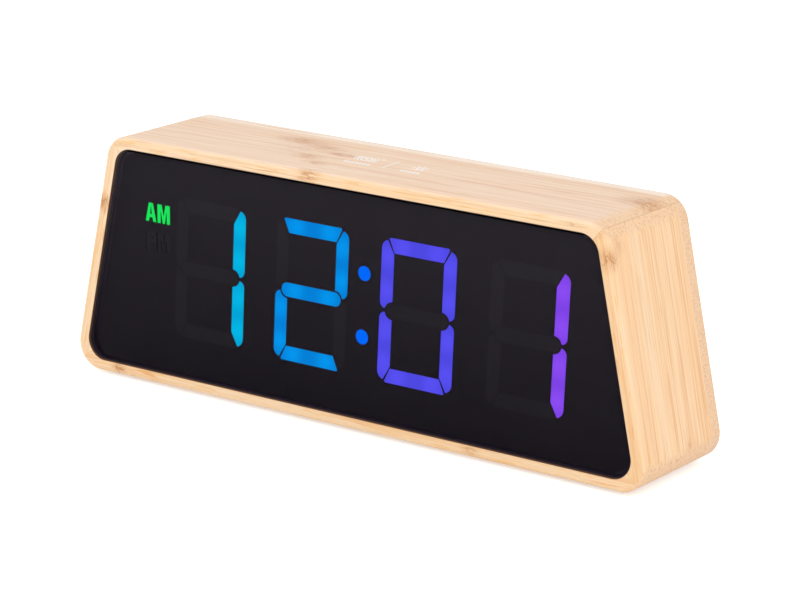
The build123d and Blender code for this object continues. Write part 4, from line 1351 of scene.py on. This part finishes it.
@dataclass
class TouchPrints:
    """The thin white signs over the touch pads, each with a row of plain dashes. In metres."""

    clock: Clock
    level: float = 76.6 * MM
    thickness: float = 0.05 * MM
    sunk: float = 0.02 * MM
    line: float = 0.50 * MM
    corner_share: float = 0.4
    corner_steps: int = 3
    window_factor: float = 4.0
    wave_middle: FlatPoint = (-8.2 * MM, 1.1 * MM)
    wave_radii: tuple[float, ...] = (2.7 * MM, 3.7 * MM)
    wave_height: float = 4.0 * MM
    spots: tuple[tuple[float, float, float], ...] = (
        (-3.5 * MM, 3.3 * MM, 0.55 * MM),
        (-8.2 * MM, 1.1 * MM, 0.55 * MM),
    )
    sun_middle: FlatPoint = (11.4 * MM, 0.9 * MM)
    sun_radius: float = 1.05 * MM
    ray_start: float = 1.70 * MM
    ray_end: float = 2.65 * MM
    ray_count: int = 8
    facets: int = 32
    labels: tuple[tuple[float, float, float, int], ...] = (
        (-12.4 * MM, -2.8 * MM, -4.5 * MM, 7),
        (7.9 * MM, 14.9 * MM, -4.2 * MM, 5),
    )
    label_height: float = 1.45 * MM
    label_share: float = 0.80
    slash: tuple[FlatPoint, FlatPoint] = ((1.8 * MM, -4.9 * MM), (1.4 * MM, 4.3 * MM))
    slash_width: float = 0.36 * MM
    ink: PlainFinish = PlainFinish(
        "white_ink", (0.96, 0.95, 0.94), (0.90, 0.88, 0.86), 0.6, 0.15, grain=0.35, bump=0.0
    )

    def build(self) -> None:
        """Prints the signs."""
        material = self.ink.build(self.clock.patterns)
        marks = [*self._waves(), *self._sun()]
        for x, y, radius in self.spots:
            marks.append(bake_place(self._disc((x, y), radius, "touch_spot")))
        for start, end, y, count in self.labels:
            pitch = (end - start) / count
            for number in range(count):
                left = start + pitch * number
                marks.append(self._stroke((left, y), (left + pitch * self.label_share, y), self.label_height))
        marks.append(self._stroke(*self.slash, self.slash_width))
        prints = join(marks, "touch_prints")
        self.clock.settle(prints, material, CASE_BODY, "white_plastic")

    def _stroke(self, start: FlatPoint, end: FlatPoint, width: float) -> bpy.types.Object:
        """Lays a thin bar with round ends.

        Args:
            start: One end, x and y.
            end: The other end.
            width: How wide the bar is.

        Returns:
            The bar.
        """
        run = Vector(end) - Vector(start)
        middle = (Vector(end) + Vector(start)) / 2
        bar = primitive(
            bpy.ops.mesh.primitive_cube_add, "touch_stroke", size=1.0,
            location=(middle.x, middle.y, self.level - self.sunk + self.thickness / 2),
            rotation=(0.0, 0.0, math.atan2(run.y, run.x)),
        )
        bar.scale = (run.length, width, self.thickness)
        bake_place(bar)
        pick_edges(bar, lambda first, second: abs(first.z - second.z) > self.thickness / 2)
        corner = min(width, run.length) * self.corner_share
        bpy.ops.mesh.bevel(offset=corner, segments=self.corner_steps, affect="EDGES")
        return close(bar)

    def _disc(self, middle: FlatPoint, radius: float, name: str, rise: float = 0.0) -> bpy.types.Object:
        """Lays a thin disc, taller than the print by a rise."""
        return primitive(
            bpy.ops.mesh.primitive_cylinder_add, name, vertices=self.facets, radius=radius,
            depth=self.thickness + rise, location=(*middle, self.level - self.sunk + self.thickness / 2),
        )

    def _ring(self, middle: FlatPoint, radius: float, name: str) -> bpy.types.Object:
        """Lays a thin ring of one line's width.

        Args:
            middle: Its middle, x and y.
            radius: The radius of its line's middle.
            name: Its name.

        Returns:
            The ring.
        """
        ring = self._disc(middle, radius + self.line / 2, name)
        hole = self._disc(middle, radius - self.line / 2, "touch_hole", self.thickness)
        bake_place(ring)
        modify(ring, "BOOLEAN", object=hole, operation="DIFFERENCE", solver="EXACT")
        bpy.data.objects.remove(hole)
        return ring

    def _waves(self) -> list[bpy.types.Object]:
        """Makes a ring with short arcs to both sides.

        Returns:
            The ring and the pairs of arcs.
        """
        pieces = [self._ring(self.wave_middle, self.wave_radii[0] - 2 * self.line, "touch_ring")]
        for radius in self.wave_radii:
            wave = self._ring(self.wave_middle, radius, "touch_wave")
            place = (*self.wave_middle, self.level)
            window = primitive(bpy.ops.mesh.primitive_cube_add, "touch_window", size=1.0, location=place)
            wide, tall = self.window_factor * radius, self.window_factor * self.thickness
            window.scale = (wide, self.wave_height, tall)
            bake_place(window)
            modify(wave, "BOOLEAN", object=window, operation="INTERSECT", solver="EXACT")
            bpy.data.objects.remove(window)
            pieces.append(wave)
        return pieces

    def _sun(self) -> list[bpy.types.Object]:
        """Makes a ring with rays.

        Returns:
            The ring and the rays.
        """
        pieces = [self._ring(self.sun_middle, self.sun_radius, "touch_sun")]
        middle = Vector(self.sun_middle)
        for number in range(self.ray_count):
            angle = math.tau * number / self.ray_count
            out = Vector((math.cos(angle), math.sin(angle)))
            inner, outer = (tuple(middle + out * reach) for reach in (self.ray_start, self.ray_end))
            pieces.append(self._stroke(inner, outer, self.line))
        return pieces


@dataclass
class RearControls:
    """The rear plate with its keys, sliding switch, power socket and cell door."""

    clock: Clock
    keys: tuple[int, ...] = (1, 2, 3, 4, 5)
    plate: PlainFinish = PlainFinish(
        "textured_black", (0.014, 0.014, 0.015), (0.024, 0.024, 0.025), 0.56, 0.14, patch=12.0, grain=0.35,
        bump=0.03,
    )
    key: PlainFinish = PlainFinish(
        "satin_black_key", (0.020, 0.020, 0.021), (0.032, 0.032, 0.033), 0.40, 0.12, patch=3.0, grain=0.3,
        bump=0.01,
    )
    knob: PlainFinish = PlainFinish(
        "switch_knob_black", (0.028, 0.028, 0.029), (0.042, 0.042, 0.043), 0.48, 0.12, grain=0.25, bump=0.012
    )
    screw: PlainFinish = PlainFinish(
        "blackened_steel", (0.035, 0.035, 0.036), (0.065, 0.063, 0.060), 0.38, 0.18, metallic=0.7, patch=1.2,
        grain=0.2, bump=0.006,
    )

    def build(self) -> None:
        """Puts smooth pieces in place of the model's."""
        patterns = self.clock.patterns
        plate = self.plate.build(patterns)
        self.clock.smooth("rear_plate", plate)
        self.clock.smooth("battery_door", plate)
        key = self.key.build(patterns)
        for number in self.keys:
            self.clock.smooth(f"button_{number}", key)
        self.clock.smooth("slide_knob", self.knob.build(patterns))
        self.clock.smooth("rear_plate_screws", self.screw.build(patterns))


@dataclass
class Insides:
    """The boards, lamps, switches, cell and cables inside the case."""

    clock: Clock
    finishes: dict[PlainFinish, tuple[str, ...]] = field(
        default_factory=lambda: {
            PlainFinish(
                "board_green", (0.012, 0.095, 0.035), (0.02, 0.13, 0.05), 0.32, 0.14, patch=4.0, grain=0.7
            ): ("main_board", "touch_board", "display_board"),
            PlainFinish(
                "lamp_white", (0.74, 0.73, 0.66), (0.82, 0.81, 0.74), 0.4, 0.1, patch=1.5
            ): ("segment_leds",),
            PlainFinish("chip_resin", (0.016, 0.016, 0.017), (0.030, 0.030, 0.031), 0.5, 0.16, patch=3.0): (
                "display_drivers", "clock_chip", "chip_resistors",
            ),
            PlainFinish(
                "zinc_plate", (0.58, 0.57, 0.54), (0.70, 0.70, 0.69), 0.30, 0.16, metallic=1.0, patch=1.5,
                grain=0.2, bump=0.005,
            ): ("module_screws", "display_screws", "main_board_screws"),
            PlainFinish(
                "sawn_block", srgb(214, 178, 134), srgb(232, 200, 158), 0.7, 0.15, patch=2.0, grain=0.6,
                stretch=(8.0, 1.0, 1.0), bump=0.05,
            ): ("mounting_blocks",),
            PlainFinish(
                "bare_copper", (0.62, 0.30, 0.17), (0.74, 0.40, 0.25), 0.34, 0.18, metallic=1.0, patch=3.0,
                bump=0.004,
            ): ("touch_pads",),
            PlainFinish(
                "cable_sleeve", (0.16, 0.16, 0.17), (0.22, 0.22, 0.23), 0.5, 0.12, stretch=(0.3, 1.0, 6.0)
            ): ("touch_cable", "display_cable"),
            PlainFinish(
                "cell_can", (0.52, 0.52, 0.51), (0.62, 0.62, 0.61), 0.28, 0.14, metallic=1.0, patch=4.0,
                grain=0.2, stretch=(6.0, 1.0, 1.0), bump=0.004,
            ): ("coin_cell", "crystal"),
            PlainFinish(
                "spring_nickel", (0.56, 0.55, 0.52), (0.68, 0.67, 0.64), 0.26, 0.14, metallic=1.0, patch=2.0,
                bump=0.004,
            ): ("minus_contact", "plus_contact"),
            PlainFinish("switch_case", (0.018, 0.018, 0.018), (0.030, 0.030, 0.030), 0.5, 0.14, patch=2.0): (
                "button_switches", "buzzer", "plunger_1", "plunger_2", "plunger_3", "plunger_4", "plunger_5",
            ),
            PlainFinish(
                "plated_shell", (0.50, 0.50, 0.49), (0.62, 0.62, 0.61), 0.30, 0.16, metallic=1.0, patch=2.0,
                bump=0.004,
            ): ("slide_switch", "power_socket"),
            PlainFinish(
                "aluminium_can", (0.58, 0.59, 0.61), (0.68, 0.69, 0.71), 0.34, 0.14, metallic=1.0, patch=2.0,
                bump=0.004,
            ): ("capacitors",),
            PlainFinish(
                "ivory_nylon", (0.68, 0.63, 0.50), (0.76, 0.71, 0.58), 0.5, 0.12, patch=3.0
            ): ("connectors",),
        }
    )

    def build(self) -> None:
        """Gives each inner node its finish."""
        for finish, nodes in self.finishes.items():
            self.clock.dress(nodes, finish.build(self.clock.patterns))


# Camera, floor and light


@dataclass
class Viewpoint:
    """Where the clock is seen from. Angles in degrees, the place in metres, the lens in millimetres."""

    place: Point = (0.5350, -0.7265, 0.2901)
    turn: float = 36.11
    dip: float = 15.80
    roll: float = 0.42
    lens: float = 143.106
    sensor: float = 36.0
    nearest: float = 0.01

    def build(self) -> None:
        """Makes the camera."""
        data = bpy.data.cameras.new("photo_camera")
        data.lens = self.lens
        data.sensor_width = self.sensor
        data.sensor_fit = "HORIZONTAL"
        data.clip_start = self.nearest
        camera = bpy.data.objects.new("photo_camera", data)
        bpy.context.scene.collection.objects.link(camera)
        aim = (
            Matrix.Rotation(math.radians(self.turn), 4, "Z")
            @ Matrix.Rotation(math.radians(90.0 - self.dip), 4, "X")
            @ Matrix.Rotation(math.radians(self.roll), 4, "Z")
        )
        camera.matrix_world = Matrix.Translation(self.place) @ aim
        bpy.context.scene.camera = camera


@dataclass(frozen=True)
class Softbox:
    """A large square lamp, aimed at the clock. Sizes in metres, power in watts."""

    name: str
    place: Point
    size: float
    power: float
    colour: Colour


@dataclass
class Studio:
    """A white floor, a white surround and soft lamps."""

    floor_size: float = 12.0
    floor_level: float = -0.05 * MM
    floor_colour: Colour = (0.90, 0.90, 0.90)
    floor_lift: float = 0.52
    ambient: float = 0.74
    ambient_colour: Colour = (0.965, 0.985, 1.0)
    target: Point = (0.0, 0.0, 0.035)
    lamps: tuple[Softbox, ...] = (
        Softbox("key_lamp", (1.15, -1.35, 1.15), 1.4, 17.0, (1.0, 0.965, 0.925)),
        Softbox("fill_lamp", (-1.5, -0.9, 1.0), 1.4, 7.0, (0.98, 0.99, 1.0)),
    )

    def build(self) -> None:
        """Makes the floor, the world and the lamps."""
        scene = bpy.context.scene
        scene.view_settings.view_transform = "Standard"
        self._floor()
        self._world(scene)
        for lamp in self.lamps:
            self._lamp(lamp)

    def _seen(self, sheet: Sheet) -> Socket:
        """Tells camera, mirror and window rays from those that carry light.

        Args:
            sheet: The sheet to lay the nodes on.

        Returns:
            1 for what is seen, and 0 for what only carries light.
        """
        paths = sheet.add("ShaderNodeLightPath").outputs
        seen = sheet.math("MAXIMUM", paths["Is Camera Ray"], paths["Is Glossy Ray"])
        return sheet.math("MAXIMUM", seen, paths["Is Transmission Ray"])

    def _floor(self) -> None:
        """Lays a plain white floor that keeps the clock's shadow."""
        adder, place = bpy.ops.mesh.primitive_plane_add, (0.0, 0.0, self.floor_level)
        floor = primitive(adder, "studio_floor", size=self.floor_size, location=place)
        material, sheet, shader = new_material("floor_white")
        shader.inputs["Base Color"].default_value = (*self.floor_colour, 1.0)
        shader.inputs["Roughness"].default_value = 1.0
        shader.inputs["Specular IOR Level"].default_value = 0.0
        shader.inputs["Emission Color"].default_value = (*WHITE, 1.0)
        lift = sheet.math("MULTIPLY", self._seen(sheet), self.floor_lift)
        sheet.feed(shader.inputs["Emission Strength"], lift)
        floor.data.materials.append(material)

    def _world(self, scene: bpy.types.Scene) -> None:
        """Surrounds the clock with even white.

        Args:
            scene: The scene.
        """
        world = bpy.data.worlds.new("studio_surround")
        world.use_nodes = True
        scene.world = world
        sheet = Sheet(world.node_tree)
        background = next(node for node in world.node_tree.nodes if node.type == "BACKGROUND")
        seen = self._seen(sheet)
        sheet.feed(background.inputs["Color"], sheet.mix(seen, self.ambient_colour, WHITE))
        sheet.feed(background.inputs["Strength"], sheet.ease(seen, 0.0, 1.0, self.ambient, 1.0))

    def _lamp(self, lamp: Softbox) -> None:
        """Hangs one soft lamp and turns it to the clock.

        Args:
            lamp: The lamp's place, size, power and colour.
        """
        data = bpy.data.lights.new(lamp.name, "AREA")
        data.shape = "SQUARE"
        data.size = lamp.size
        data.energy = lamp.power
        data.color = lamp.colour
        light = bpy.data.objects.new(lamp.name, data)
        bpy.context.scene.collection.objects.link(light)
        aim = (Vector(self.target) - Vector(lamp.place)).to_track_quat("-Z", "Y")
        light.matrix_world = Matrix.Translation(lamp.place) @ aim.to_matrix().to_4x4()


def main() -> None:
    """Loads the frame, builds every sub-assembly in order, then the camera and the studio."""
    logging.basicConfig(level=logging.INFO, format="%(name)s: %(message)s")
    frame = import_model()
    clock = Clock(frame)
    for part in (WoodenCase(clock), Display(clock), TouchPrints(clock), RearControls(clock), Insides(clock)):
        part.build()
        LOG.info("%s is in place", type(part).__name__)
    Viewpoint().build()
    Studio().build()


if __name__ == "__main__":
    main()
